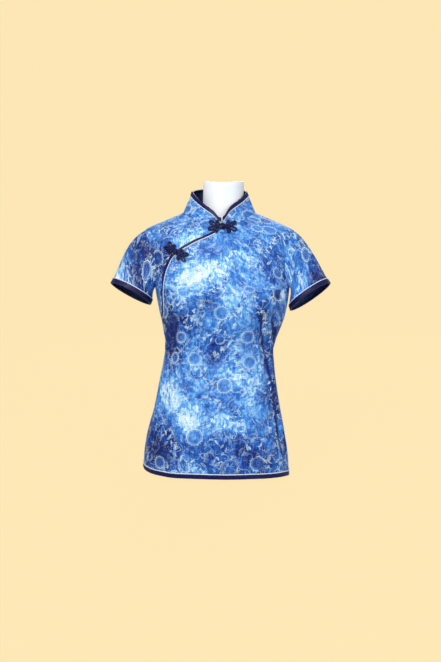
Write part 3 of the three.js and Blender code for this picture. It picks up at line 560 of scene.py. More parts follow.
def front_turn(x, z):
    """The angle at which the front of the body has a sideways place."""
    low, high = np.full(np.shape(x), -89.5), np.full(np.shape(x), 89.5)
    for _ in range(30):
        middle = (low + high) / 2
        left = body_point(middle, z)[..., 0] < x
        low, high = np.where(left, middle, low), np.where(left, high, middle)
    return (low + high) / 2


def neck_edge(turn):
    """Angle and height of the neck edge's points, with 0 the middle front, 180 the middle back."""
    sine, cosine = np.sin(np.radians(turn)), np.cos(np.radians(turn))
    front = cosine >= 0
    middle = np.where(front, NECK_FRONT_Z, NECK_BACK_Z)
    z = middle + (NECK_SIDE_Z - middle) * np.abs(sine) ** NECK_SCOOP
    inner = np.degrees(np.arcsin(np.clip(NECK_HALF * np.abs(sine) / body.at("half", z), 0, 1)))
    return np.sign(sine) * np.where(front, inner, 180 - inner), z


def armhole_height(step):
    return UNDERARM_Z + (SHOULDER_Z - UNDERARM_Z) * (1 - np.cos(np.pi * step)) / 2


def armhole_cut(step, depth):
    return depth * np.sin(np.pi * np.clip(step, 0, 1)) ** 0.8


def hem_height(turn):
    return hem_table.at("z", np.where(turn < -90, turn + 360, turn))


def running(points):
    """Running length along a line of points."""
    return np.concatenate([[0], np.cumsum(np.linalg.norm(np.diff(points, axis=0), axis=1))])


def wrap_path(count):
    """Evenly spaced points of the smooth wrap edge, in x and z."""
    knots = np.array(WRAP_EDGE, float)
    knots = np.vstack([2 * knots[0] - knots[1], knots, 2 * knots[-1] - knots[-2]])
    points = []
    for k in range(1, len(knots) - 2):
        a, b, c, d = knots[k - 1:k + 3]
        t = np.linspace(0, 1, 40, endpoint=k == len(knots) - 3)[:, None]
        points.append(0.5 * (2 * b + (c - a) * t + (2 * a - 5 * b + 4 * c - d) * t ** 2
                             + (3 * b - a - 3 * c + d) * t ** 3))
    points = np.vstack(points)
    length = running(points)
    even = np.linspace(0, length[-1], count)
    return np.stack([np.interp(even, length, points[:, 0]), np.interp(even, length, points[:, 1])], 1)


def over_wrap(x, z):
    """True for points of the front that belong to the underlap, above the wrap edge."""
    path = wrap_path(240)
    gap, side = np.full(np.shape(x), 1e9), np.zeros(np.shape(x))
    for a, b in zip(path, path[1:]):
        ab = b - a
        t = np.clip(((x - a[0]) * ab[0] + (z - a[1]) * ab[1]) / (ab @ ab), 0, 1)
        dx, dz = x - a[0] - t * ab[0], z - a[1] - t * ab[1]
        far = dx * dx + dz * dz
        nearer = far < gap
        gap = np.where(nearer, far, gap)
        side = np.where(nearer, ab[0] * dz - ab[1] * dx, side)
    return side < 0


def wrap_line(count, skip):
    """Points along the wrap edge without its ends, the way out from the cloth and the way into it."""
    path = wrap_path(count + 2 * skip)[skip:-skip]
    turn = front_turn(path[:, 0], path[:, 1])
    points, outs = body_point(turn, path[:, 1]), body_out(turn, path[:, 1])
    return points, outs, unit(np.cross(outs, np.gradient(points, axis=0)))


# Meshes

@contextmanager
def edited(piece):
    """A piece's mesh, open for an edit and then written back."""
    b = bmesh.new()
    b.from_mesh(piece.data)
    yield b
    b.to_mesh(piece.data)
    b.free()


def crisp(piece):
    """Hard edges where a wall or strip turns over."""
    piece.data.set_sharp_from_angle(angle=math.radians(SHARP_ANGLE))


def new_mesh(name, points, faces, material, uv=None, marks=None):
    """A mesh object from points in millimetres, with a map in metres and named point values."""
    mesh = bpy.data.meshes.new(name)
    mesh.from_pydata(((np.asarray(points) + (0, 0, STAND)) * MM).tolist(), [], faces)
    mesh.update()
    if uv is not None:
        layer = mesh.uv_layers.new(name="cut")
        corner = np.empty(len(mesh.loops), np.int32)
        mesh.loops.foreach_get("vertex_index", corner)
        layer.data.foreach_set("uv", (np.asarray(uv)[corner] * MM).astype(np.float32).ravel())
    for key, values in (marks or {}).items():
        attribute = mesh.attributes.new(key, "FLOAT", "POINT")
        attribute.data.foreach_set("value", np.asarray(values, np.float32).ravel())
    mesh.shade_smooth()
    mesh.materials.append(material)
    return placed(name, mesh)


def grid_faces(rows, columns, keep=None, round_rows=False, round_columns=False):
    """Faces of a grid of points. A round grid joins its last points to its first."""
    stride = columns if round_columns else columns + 1
    height = rows if round_rows else rows + 1
    faces = []
    for i in range(rows):
        for j in range(columns):
            if keep is None or keep[i, j]:
                k, m = (j + 1) % stride, (i + 1) % height
                faces.append((i * stride + j, i * stride + k, m * stride + k, m * stride + j))
    return faces


def tube_faces(count, sides, closed):
    """Faces of a tube from its rings of points, with flat ends where it is open."""
    faces = grid_faces(count if closed else count - 1, sides, None, closed, True)
    if not closed:
        faces += [tuple(reversed(range(sides))), tuple(range((count - 1) * sides, count * sides))]
    return faces


def clean(piece):
    """Removes loose points and turns the faces outwards."""
    with edited(piece) as b:
        bmesh.ops.delete(b, geom=[v for v in b.verts if not v.link_faces], context="VERTS")
        if b.calc_volume(signed=True) < 0:
            bmesh.ops.reverse_faces(b, faces=b.faces)
    crisp(piece)


def wall_mesh(name, outer, inner, uv, dye_and_shade, material, keep):
    """A wall of cloth from grids of outer and inner points, closed along its edges."""
    outside = grid_faces(outer.shape[0] - 1, outer.shape[1] - 1, keep)
    count = outer.shape[0] * outer.shape[1]
    faces = outside + [tuple(v + count for v in reversed(face)) for face in outside]
    border = {}
    for face in outside:
        for a, b in zip(face, face[1:] + face[:1]):
            if (b, a) in border:
                del border[(b, a)]
            else:
                border[(a, b)] = True
    faces += [(b, a, a + count, b + count) for a, b in border]
    both = np.concatenate([outer.reshape(-1, 3), inner.reshape(-1, 3)])
    # Point values: dyed clouds with the painted shade and painted highlight of folds, and 1 on the inner
    # face, which the cotton paints dark as shade
    marks = {"dye_and_shade": np.concatenate([dye_and_shade.ravel()] * 2), "inside": np.repeat([0.0, 1.0], count)}
    piece = new_mesh(name, both, faces, material, np.concatenate([uv.reshape(-1, 2)] * 2), marks)
    clean(piece)
    return piece


def weld(piece, gap):
    """Joins points closer than a gap in millimetres, as where a tube of cloth meets itself."""
    with edited(piece) as b:
        bmesh.ops.remove_doubles(b, verts=b.verts, dist=gap * MM)
        twins, doomed = {}, []
        for face in b.faces:
            key = tuple(sorted(v.index for v in face.verts))
            if key in twins:
                doomed += [face, twins[key]]
            twins[key] = face
        bmesh.ops.delete(b, geom=list(set(doomed)), context="FACES_ONLY")
        bmesh.ops.delete(b, geom=[e for e in b.edges if not e.link_faces], context="EDGES")
    crisp(piece)


def face_outwards(piece):
    with edited(piece) as b:
        bmesh.ops.remove_doubles(b, verts=b.verts, dist=0.002 * MM)
        bmesh.ops.recalc_face_normals(b, faces=b.faces)


def baked(piece, name, spent=()):
    """A plain mesh object of what a piece's modifiers make, in place of the piece."""
    view = bpy.context.evaluated_depsgraph_get()
    mesh = bpy.data.meshes.new_from_object(piece.evaluated_get(view))
    mesh.name = name
    for old in (piece, *spent):
        bpy.data.objects.remove(old)
    return placed(name, mesh)


# Pieces of cloth

def blotches(table, u, v):
    """Pale (above zero) and dark (below zero) clouds placed on a cut piece: of dyed colour, and some of
    painted shade and painted highlight.
    """
    out = np.zeros(np.shape(u))
    for _, at_u, at_v, wide, tall, strength in table:
        out = out + strength * np.exp(-((u - at_u) / wide) ** 2 - ((v - at_v) / tall) ** 2)
    return out


def shaded_lines(table, u, v):
    """Painted shade: darker colour along the lines of folds, as far up and down as each line runs."""
    out = np.zeros(np.shape(u))
    for line, wide, strength in table:
        across, up = np.array(sorted(line, key=lambda point: point[1]), float).T
        ends = np.clip((v - up[0]) / SHADE_FADE, 0, 1) * np.clip((up[-1] - v) / SHADE_FADE, 0, 1)
        out = out + strength * ends * np.exp(-((u - np.interp(v, up, across)) / wide) ** 2)
    return out


def arc_lengths(points, axis):
    """Running length along one axis of a grid of points, in millimetres."""
    steps = np.linalg.norm(np.diff(points, axis=axis), axis=-1)
    pad = [(0, 0), (0, 0)]
    pad[axis] = (1, 0)
    return np.cumsum(np.pad(steps, pad), axis=axis)


def add_cloth(name, outer, inner, material, keep=None):
    """A cut piece of cloth with its place on the print, its clouds of dyed colour, and painted shade and
    painted highlight along its folds.
    """
    u, v = arc_lengths(outer, 1), arc_lengths(outer, 0)
    middle = u.shape[1] // 2
    u = u - u[:, middle:middle + 1]
    # Dyed clouds and painted shade and highlight, summed into one value for each point
    dye_and_shade = blotches(DYE_AND_SHADE[name], u, v) + shaded_lines(SHADES.get(name, ()), u, v)
    from_u, from_v = CUT_FROM[name]
    uv = np.stack([u + from_u, v + from_v], -1)
    return wall_mesh(name + "_cloth", outer, inner, uv, dye_and_shade, material, keep)


def panel_grid(is_front):
    """Angles and heights of a panel's points, from hem to neck edge and side to side."""
    row = np.arange(LOWER_ROWS + ARMHOLE_ROWS + SHOULDER_ROWS + 1)[:, None]
    full = 90 * np.linspace(-1, 1, PANEL_COLUMNS + 1)[None, :] + 0 * row
    real = full if is_front else 180 - full
    low = row <= LOWER_ROWS
    z_low = hem_height(real) + (UNDERARM_Z - hem_height(real)) * row / LOWER_ROWS
    step = (row - LOWER_ROWS) / ARMHOLE_ROWS
    shoulder = (row - LOWER_ROWS - ARMHOLE_ROWS) / SHOULDER_ROWS
    edge_z = np.where(step <= 1, armhole_height(np.clip(step, 0, 1)),
                      SHOULDER_Z + (NECK_SIDE_Z - SHOULDER_Z) * shoulder)
    rise = np.clip((edge_z - UNDERARM_Z) / (NECK_SIDE_Z - UNDERARM_Z), 0, 1)
    top_turn, top_z = neck_edge(real)
    if not is_front:
        top_turn = np.where(np.abs(full) < 1e-9, 0, np.sign(full) * 180 - top_turn)
    cut = armhole_cut(step, ARMHOLE_FRONT if is_front else ARMHOLE_BACK)
    turn_high = (full + (top_turn - full) * rise * rise) * (90 - cut) / 90
    turn = np.clip(np.where(low, full, turn_high), -90 + SEAM_SLACK, 90 - SEAM_SLACK)
    z = np.where(low, z_low, UNDERARM_Z + (top_z - UNDERARM_Z) * rise)
    return (turn if is_front else 180 - turn), z


def add_panels(material):
    """The back, the front under its wrap edge and the underlap above that edge."""
    walls = {}
    for is_front in (True, False):
        turn, z = panel_grid(is_front)
        outer = body_point(turn, z)
        walls[is_front] = outer, outer - body_out(turn, z) * CLOTH
    outer = walls[True][0]
    middle = (outer[:-1, :-1] + outer[1:, 1:]) / 2
    under = over_wrap(middle[..., 0], middle[..., 2])
    return {
        "front_panel": add_cloth("front_panel", *walls[True], material, ~under),
        "front_underlap": add_cloth("front_underlap", *walls[True], material, under),
        "back_panel": add_cloth("back_panel", *walls[False], material),
    }


def armhole_point(side, around):
    step = 1 - np.abs(around) / 180
    cut = np.where(around < 0, -armhole_cut(step, ARMHOLE_FRONT), armhole_cut(step, ARMHOLE_BACK))
    return body_point(side * (90 + cut), armhole_height(step))


def cuff_frame(sleeve):
    """The ways across the cuff, along the sleeve and from its front to its back, and its middle."""
    slope, forward = math.radians(sleeve["slope"]), math.radians(sleeve["forward"])
    side = sleeve["side"]
    up = np.array([side * math.cos(slope), 0, math.sin(slope)])
    axis = np.array([side * math.sin(slope), 0, -math.cos(slope)]) * math.cos(forward)
    axis = axis + np.array([0, -math.sin(forward), 0])
    deep = np.array([0, 1, 0]) - axis[1] * axis
    return up, axis, unit(deep), np.array([sleeve["x"], sleeve["y"], sleeve["z"]])


def sleeve_smooth(sleeve, around, along):
    """Smooth surface of a sleeve: angle round the arm, and 0 at the armhole to 1 at the cuff."""
    around, along = np.broadcast_arrays(np.asarray(around, float), np.asarray(along, float))
    around = turn_between(0, around)
    up, axis, deep, middle = cuff_frame(sleeve)
    angle = np.radians(around)
    under = (1 - np.cos(angle)) / 2
    slope = np.radians(sleeve["top"] + (SLEEVE_UNDER_SLOPE - sleeve["top"]) * under)
    leave = stacked(sleeve["side"] * np.cos(slope), 0 * slope, -np.sin(slope))
    start = armhole_point(sleeve["side"], around) + leave * SEAM_GAP
    end = middle + up * (sleeve["wide"] * np.cos(angle))[..., None]
    end = end + deep * (sleeve["deep"] * np.sin(angle))[..., None]
    reach = np.linalg.norm(end - start, axis=-1)[..., None]
    t = along[..., None]
    return (start * (1 + 2 * t) * (1 - t) ** 2 + leave * reach * t * (1 - t) ** 2
            + end * eased(t) + axis * reach * t * t * (t - 1))


def sleeve_length(sleeve, around):
    gap = sleeve_smooth(sleeve, around, 0) - sleeve_smooth(sleeve, around, 1)
    return np.linalg.norm(gap, axis=-1)


def sleeve_relief(sleeve, around, along):
    """Creases and the small wobble of a sleeve, fading at its armhole and a little at its cuff."""
    out = relief(SLEEVE_CREASES, around, along, SLEEVE_GIRTH, SLEEVE_LONG, 0, 0.12)
    a = np.radians(around)
    tilt = sleeve["side"] * 0.7
    waves = np.sin(3 * a + along * 7 + tilt) + np.sin(5 * a - along * 9 + 2 * tilt)
    return (out + 0.22 * waves) * np.clip(along * 9, 0, 1) * np.clip((1 - along) * 9, 0.35, 1)


def sleeve_point(sleeve, around, along, out):
    def surface(u, v):
        return sleeve_smooth(sleeve, u, v)
    normal = outward(surface, around, np.clip(along, 0.012, 0.988), 0.5, 0.01) * -sleeve["side"]
    lift = sleeve_relief(sleeve, around, along) + out
    return surface(around, along) + normal * lift[..., None]


def add_sleeve(name, sleeve, material):
    along = np.linspace(0, 1, SLEEVE_ROWS + 1)[:, None]
    around, along = np.broadcast_arrays(np.linspace(-180, 180, SLEEVE_COLUMNS + 1)[None, :], along)
    outer, inner = (sleeve_point(sleeve, around, along, out) for out in (0, -CLOTH))
    piece = add_cloth("sleeve_" + name, outer, inner, material)
    weld(piece, 0.05)
    return piece


def collar_smooth(turn, height):
    """Smooth surface of the collar: angle from its opening, and height along its slope."""
    turn = np.asarray(turn, float)
    aside = turn + COLLAR_ASIDE * (1 + np.cos(np.radians(turn))) / 2
    base = form_surface(*neck_edge(aside))
    lean = collar_table.at("lean", np.abs(turn_between(0, turn)))
    a = np.radians(aside)
    rise = unit(stacked(-np.sin(a) * lean, np.cos(a) * lean, 1.0))
    return base + rise * (np.asarray(height, float) + 2 * SEAM_GAP)[..., None]


def collar_height(turn):
    return collar_table.at("height", np.abs(turn_between(0, turn)))


def collar_point(turn, height, out):
    a = np.radians(turn)
    wave = 0.22 * np.sin(7 * a + height / 9) + 0.16 * np.sin(13 * a - height / 6)
    normal = outward(collar_smooth, turn, height, 0.5, 0.5)
    return collar_smooth(turn, height) + normal * (out + wave)[..., None]


def collar_turns(count):
    """Angles round the collar from one front end to the other, closer together at the ends."""
    start = math.degrees(math.asin(COLLAR_MEET / NECK_HALF))
    t = np.linspace(-1, 1, count)
    return 180 + (180 - start) * np.sign(t) * (1 - (1 - np.abs(t)) ** 1.35)


def add_collar(material):
    share = np.linspace(0, 1, COLLAR_UP + 1)[:, None]
    turn = collar_turns(COLLAR_AROUND + 1)[None, :] + 0 * share
    height = collar_height(turn) * share
    outer, inner = (collar_point(turn, height, out) for out in (0, -CLOTH))
    return add_cloth("collar", outer, inner, material)


# Bindings and pipings

def rounded(corners, size, steps=3):
    """A closed profile with its corners rounded by a size."""
    corners = np.array(corners, float)
    out = []
    for k, corner in enumerate(corners):
        ends = []
        for other in (corners[k - 1], corners[(k + 1) % len(corners)]):
            long = np.linalg.norm(other - corner)
            ends.append(corner + (other - corner) / long * min(size, long / 2.2))
        for t in np.linspace(0, 1, steps + 1):
            out.append((1 - t) ** 2 * ends[0] + 2 * t * (1 - t) * corner + t * t * ends[1])
    return np.array(out)


def folded_profile(reach):
    """A strip folded over an edge: out to its reach on the face, and TURNED_IN behind."""
    over, under = LIE + TRIM, -CLOTH - 2 * LIE
    corners = [(reach, LIE), (reach, over), (-over, over + 0.25), (-over, under - TRIM),
               (TURNED_IN, under - TRIM), (TURNED_IN, under), (-LIE, under), (-LIE, LIE)]
    return rounded(corners, 1.0)


def band_profile(start, end):
    return rounded([(start, LIE), (end, LIE), (end, LIE + TRIM), (start, LIE + TRIM)], 0.7)


def piping_profile(start):
    angles = np.linspace(0, math.pi, 11)
    return np.array([(start + PIPING / 2 * (1 + math.cos(a)), LIE + PIPING_RISE * math.sin(a) ** 0.8)
                     for a in angles])


def strip_mesh(name, at, profile, material, closed):
    """A strip whose profile follows an edge; at(into, out) gives the points all along it."""
    points = np.stack([at(float(into), float(out)) for into, out in profile], 1)
    uv = stacked(running(points[:, 0])[:, None], running(profile)[None, :])
    faces = tube_faces(len(points), len(profile), closed)
    piece = new_mesh(name, points.reshape(-1, 3), faces, material, uv.reshape(-1, 2))
    clean(piece)
    return piece


def add_trim(name, at, reach, satins, closed=False):
    """A folded binding, or a flat band where it has no reach, and the piping beside it."""
    navy, silver = satins
    profile = folded_profile(reach) if reach else band_profile(-WRAP_BINDING, 0)
    return (strip_mesh(name + "_satin", at, profile, navy, closed),
            strip_mesh(name + "_cord", at, piping_profile(reach + PIPING_GAP), silver, closed))


def ripple(count, waves, depth, seed=0.0):
    """Slight puckers of a strip that is stitched down."""
    s = np.linspace(0, 2 * math.pi, count)
    return depth * (np.sin(waves * s + seed) + 0.6 * np.sin(waves * 1.7 * s + 1 + seed)
                    + 0.5 * np.sin(waves * 0.41 * s + 2.2 + seed))


def add_hem(name, is_front, satins):
    across = np.linspace(-1, 1, HEM_STEPS) * (90 - SEAM_SLACK)
    turn = across if is_front else 180 - across
    pucker = ripple(HEM_STEPS, 23, 0.16, 0 if is_front else 1.4)

    def at(into, out):
        return cloth_point(turn, hem_height(turn) + into, out + pucker * (out > 0))
    return add_trim(name, at, HEM_BINDING, satins)


def add_cuff(name, sleeve, satins):
    around = np.linspace(-180, 180, CUFF_STEPS, endpoint=False)
    reach = sleeve_length(sleeve, around)
    axis = cuff_frame(sleeve)[1]
    pucker = ripple(CUFF_STEPS + 1, 12, 0.14, sleeve["side"])[:-1] * np.sin(np.pi * (around + 180) / 360)

    def at(into, out):
        inside = np.maximum(into, 0) / reach
        return sleeve_point(sleeve, around, 1 - inside, out + pucker * (out > 0)) + axis * max(-into, 0)
    return add_trim("cuff_" + name, at, CUFF_BINDING, satins, True)


def add_collar_trim(satins):
    turn = collar_turns(COLLAR_TRIM_STEPS)

    def at(into, out):
        return collar_point(turn, collar_height(turn) - into, out)
    return add_trim("collar", at, COLLAR_BINDING, satins)


def add_wrap_trim(satins):
    points, outs, inwards = wrap_line(WRAP_STEPS, 13)
    pucker = ripple(WRAP_STEPS, 15, 0.14)
    low = np.clip((np.linspace(0, 1, WRAP_STEPS) - 0.36) / 0.2, 0, 1)
    wide = 1 + 0.4 * eased(low)

    def at(into, out):
        reach = into * (wide if into < 0 else 1.7 - 0.7 * wide)
        return points + inwards * reach[:, None] + outs * (out + pucker * (out > LIE))[:, None]
    return add_trim("wrap", at, 0, satins)


# Flower frogs of satin cord

def throat_depth(x, z):
    """How far forward the collar or the panel below it reaches at a place on the throat."""
    shift = float(body.at("shift", NECK_FRONT_Z))
    turn = np.degrees(np.arcsin(np.clip((x - shift) / NECK_HALF, -1, 1)))
    _, edge_z = neck_edge(turn)
    low = form_surface(front_turn(x, z), z)[..., 1]
    high = collar_smooth(turn - COLLAR_ASIDE, z - edge_z)[..., 1]
    return np.where(z < edge_z, low, high)


def frog_place(frog, along, across, lift):
    """Points over the cloth near a frog, and the way out from it, from sizes along and across it."""
    along, across = np.broadcast_arrays(np.asarray(along, float), np.asarray(across, float))
    clear = np.where(along < 0, frog["loop"], frog["knot"])
    cosine = frog["size"] * math.cos(math.radians(frog["tilt"]))
    sine = frog["size"] * math.sin(math.radians(frog["tilt"]))
    x = frog["x"] + along * cosine - across * sine
    z = frog["z"] + along * sine + across * cosine
    if frog["name"] == "wrap":
        turn = front_turn(x, z)
        points, out = body_point(turn, z), body_out(turn, z)
    else:
        out = unit(stacked((x - frog["x"]) / THROAT_BEND, -1.0, THROAT_SLOPE))
        y = np.zeros(x.shape)
        for aside in (-4, 0, 4):
            for above in (-4, 0, 4):
                y = np.minimum(y, throat_depth(x + aside, z + above) - above * THROAT_SLOPE)
        points = stacked(x, y, z)
    return points + out * (clear + lift)[..., None], out


def frog_seat(frog, along, lift):
    """One point on a frog's middle line, with the ways out from it, along it and up across it."""
    points, outs = frog_place(frog, np.array([along]), 0, lift)
    tilt = math.radians(frog["tilt"])
    right = np.array([math.cos(tilt), 0, math.sin(tilt)])
    right = unit(right - outs[0] * (right @ outs[0]))
    return points[0], outs[0], right, np.cross(right, -outs[0])


def cord_mesh(points, outs, radius, sides=12, closed=True):
    """Points, faces and cut lengths of a round cord along a path."""
    ahead = np.roll(points, -1, 0) - np.roll(points, 1, 0) if closed else np.gradient(points, axis=0)
    along = unit(ahead)
    side = unit(np.cross(outs, along))
    up = np.cross(along, side)
    angle = 2 * np.pi * np.arange(sides) / sides
    ring = side[:, None] * np.cos(angle)[None, :, None] + up[:, None] * np.sin(angle)[None, :, None]
    uv = stacked(running(points)[:, None], (angle * radius)[None, :])
    faces = tube_faces(len(points), sides, closed)
    return (points[:, None] + ring * radius).reshape(-1, 3), faces, uv.reshape(-1, 2)


def joined(parts):
    """One set of points, faces and cut lengths from several."""
    faces, start = [], 0
    for points, part_faces, _ in parts:
        faces += [tuple(v + start for v in face) for face in part_faces]
        start += len(points)
    return np.concatenate([part[0] for part in parts]), faces, np.concatenate([part[2] for part in parts])


def petal_loop(frog, side, petal):
    angle = 2 * np.pi * np.arange(56) / 56
    reach = petal["long"] * (1 - np.cos(angle)) / 2
    swing = petal["wide"] / 2 * np.sin(angle) * (0.45 + 0.55 * reach / petal["long"])
    way = math.radians(petal["turn"])
    along = reach * math.cos(way) - swing * math.sin(way)
    across = reach * math.sin(way) + swing * math.cos(way)
    points, outs = frog_place(frog, side * (FROG_FLOWERS + along), across, CORD / 2)
    return cord_mesh(points, outs, CORD / 2)


def coiled_middle(frog, side):
    """The small coil that holds the loops of a flower together."""
    turns = np.linspace(0, 4.6 * math.pi, 90)
    share = turns / turns[-1]
    reach, lift = 4.7 - 3.7 * share, CORD * 0.85 + 1.9 * share
    seat, out, right, up = frog_seat(frog, side * FROG_FLOWERS, 0)
    points = (seat + right * (reach * np.cos(turns))[:, None] + up * (reach * np.sin(turns))[:, None]
              + out * lift[:, None])
    return cord_mesh(points, out[None].repeat(len(points), 0), FINE_CORD, 10, False)


def button_knot(frog):
    """A ball button knotted from cord: bands that pass over a round core."""
    centre, out, right, up = frog_seat(frog, 0.6, KNOT)
    t = np.linspace(0, 2 * math.pi, 60, endpoint=False)
    parts = []
    for lean, twist in ((0.95, 0.0), (0.95, 2.1), (0.95, 4.2), (0.35, 1.0)):
        aside = right * math.cos(twist) + up * math.sin(twist)
        axis = unit(out * math.cos(lean) + aside * math.sin(lean))
        one = unit(np.cross(axis, right + 0.2 * up))
        shell = one * np.cos(t)[:, None] + np.cross(axis, one) * np.sin(t)[:, None]
        radius = KNOT - 1.55 + 0.3 * np.sin(3 * t + twist)
        parts.append(cord_mesh(centre + shell * radius[:, None], shell, FINE_CORD, 10))
    rows, columns = 9, 16
    a = (np.pi * np.arange(rows + 1) / rows)[:, None, None]
    b = (2 * np.pi * np.arange(columns) / columns)[None, :, None]
    core = right * np.sin(a) * np.cos(b) + up * np.sin(a) * np.sin(b) + out * np.cos(a)
    core = (centre + (KNOT - 1.5) * core).reshape(-1, 3)
    parts.append((core, grid_faces(rows, columns, round_columns=True), np.zeros((len(core), 2))))
    return parts


def button_loop(frog):
    """The loop that goes round the button."""
    t = 2 * np.pi * np.arange(64) / 64
    along = -2.4 + 9.4 * np.cos(t)
    across = (4.0 + 2.2 * np.clip(np.cos(t) + 0.3, 0, 1.3)) * np.sin(t)
    points, outs = frog_place(frog, along, across, 0)
    lift = 2.6 - np.where(along < 0, frog["loop"], frog["knot"]) + frog["knot"]
    return cord_mesh(points + outs * lift[:, None], outs, 1.5, 10)


def button_stem(frog, offset):
    """One of the two cords that lead from the flower to the button."""
    points, outs = frog_place(frog, np.linspace(4.2, FROG_FLOWERS, 12), offset, CORD / 2 + 0.5)
    return cord_mesh(points, outs, 1.7, 10, False)


def add_frog(name, frog, side, material):
    parts = [petal_loop(frog, side, petal) for petal in PETALS] + [coiled_middle(frog, side)]
    if side > 0:
        parts += button_knot(frog) + [button_stem(frog, offset) for offset in (-1.8, 1.8)]
    else:
        parts.append(button_loop(frog))
    points, faces, uv = joined(parts)
    piece = new_mesh(name + "_satin", points, faces, material, uv)
    face_outwards(piece)
    return piece


# The dress form

def ring_stack(name, rings, material):
    """A closed body from a stack of rings, its ends drawn to their middles."""
    count, last = rings.shape[1], len(rings) - 1
    points = np.concatenate([rings.reshape(-1, 3), rings[0].mean(0)[None], rings[-1].mean(0)[None]])
    faces = grid_faces(last, count, round_columns=True)
    low, high = len(points) - 2, len(points) - 1
    faces += [(low, (j + 1) % count, j) for j in range(count)]
    faces += [(high, last * count + j, last * count + (j + 1) % count) for j in range(count)]
    piece = new_mesh(name, points, faces, material)
    clean(piece)
    return piece


def torso_rings():
    """Sections of the torso inside the cloth, flattened at the sides where the arms would start."""
    turn = np.linspace(-180, 180, FORM_AROUND, endpoint=False) + 180 / FORM_AROUND
    levels = [(FORM_LOW, 2.4), (FORM_LOW + 0.8, 0.9), (FORM_LOW + 2.4, 0.0)]
    levels += [(z, 0.0) for z in [*np.arange(24, 560, 6.0), *np.arange(560, 599, 3.0)]]
    rings = []
    for z, inset in levels:
        level = np.full(FORM_AROUND, float(z))
        normal = outward(form_surface, turn, level, 0.4, 0.6)
        point = form_surface(turn, level) - normal * (WALL + body.at("ease", z) + inset)
        if z < FORM_LOW + 3:
            point[:, 2] = z
        if z > UNDERARM_Z - 40:
            aside = point[:, 0] - body.at("shift", z)
            past = np.maximum(np.abs(aside) - (ARM_PLATE - ARM_ROUND), 0)
            limited = ARM_PLATE - ARM_ROUND + ARM_ROUND * np.tanh(past / ARM_ROUND)
            point[:, 0] += np.where(past > 0, np.sign(aside) * limited - aside, 0)
        rings.append(point)
    return np.array(rings)


def neck_rings():
    """Sections of the neck, flared into the shoulders and cut off by a slanted top."""
    turn = np.radians(np.linspace(0, 360, FORM_AROUND, endpoint=False))
    levels = [(z, 0.0) for z in [*np.arange(545, 660, 4.0), 661, 663.5]]
    levels += [(FORM_TOP_Z - drop, inwards) for drop, inwards in NECK_TOP]
    rim = NECK_RIM_RISE * np.sin(turn) ** 2 - NECK_BACK_FALL * ((1 - np.cos(turn)) / 2) ** 2
    rings = []
    for z, inwards in levels:
        flare = NECK_FLARE * math.exp(-max(z - NECK_FLARE_Z, 0) / NECK_FLARE_FADE)
        top = min(max((z - NECK_SLANT_Z) / (FORM_TOP_Z - NECK_SLANT_Z), 0), 1)
        share = inwards / NECK_MIDDLE
        rise = top * (rim * (1 - share) - NECK_BACK_FALL / 2 * share)
        lean = min(max((z - NECK_LEAN_Z) / (FORM_TOP_Z - NECK_LEAN_Z), 0), 1)
        x = NECK_SHIFT + NECK_LEAN * lean + (NECK_WIDE + flare - inwards) * np.sin(turn)
        y = -(NECK_DEEP + flare * 0.35 - inwards) * np.cos(turn) - NECK_FORWARD
        rings.append(np.stack([x, y, z + rise], -1))
    return np.array(rings)


def foot_rings():
    """Sections of the low foot, from its flat underside up into the torso."""
    across, along = round_section(np.linspace(0, 360, FORM_AROUND, endpoint=False), FOOT_ROUND)
    shift = float(body.at("shift", 0))
    levels = ((-STAND, 1.6), (-STAND + 0.5, 0.6), (-STAND + 1.6, 0), (0, 0), (FORM_LOW + 6, 0))
    return np.array([stacked(shift + (FOOT_HALF - inset) * across,
                             FOOT_BACK - (FOOT_DEEP - inset) * along, float(z)) for z, inset in levels])


def add_form(material):
    torso = ring_stack("form_torso", torso_rings(), material)
    others = [ring_stack("form_neck", neck_rings(), material),
              ring_stack("form_foot", foot_rings(), material)]
    for other in others:
        union = torso.modifiers.new("union", "BOOLEAN")
        union.operation = "UNION"
        union.solver = "EXACT"
        union.object = other
    return baked(torso, "dress_form_shell", others)


# Stitches, as a repeat along the lines that are sewn

def linked_nodes(tree, kinds, settings, links):
    """New nodes of a tree by their short names, joined from outputs to inputs."""
    nodes = {name: tree.nodes.new(kind) for name, kind in kinds.items()}
    for name, key, value in settings:
        setattr(nodes[name], key, value)
    for start, output, end, socket in links:
        tree.links.new(nodes[start].outputs[output], nodes[end].inputs[socket])
    return nodes


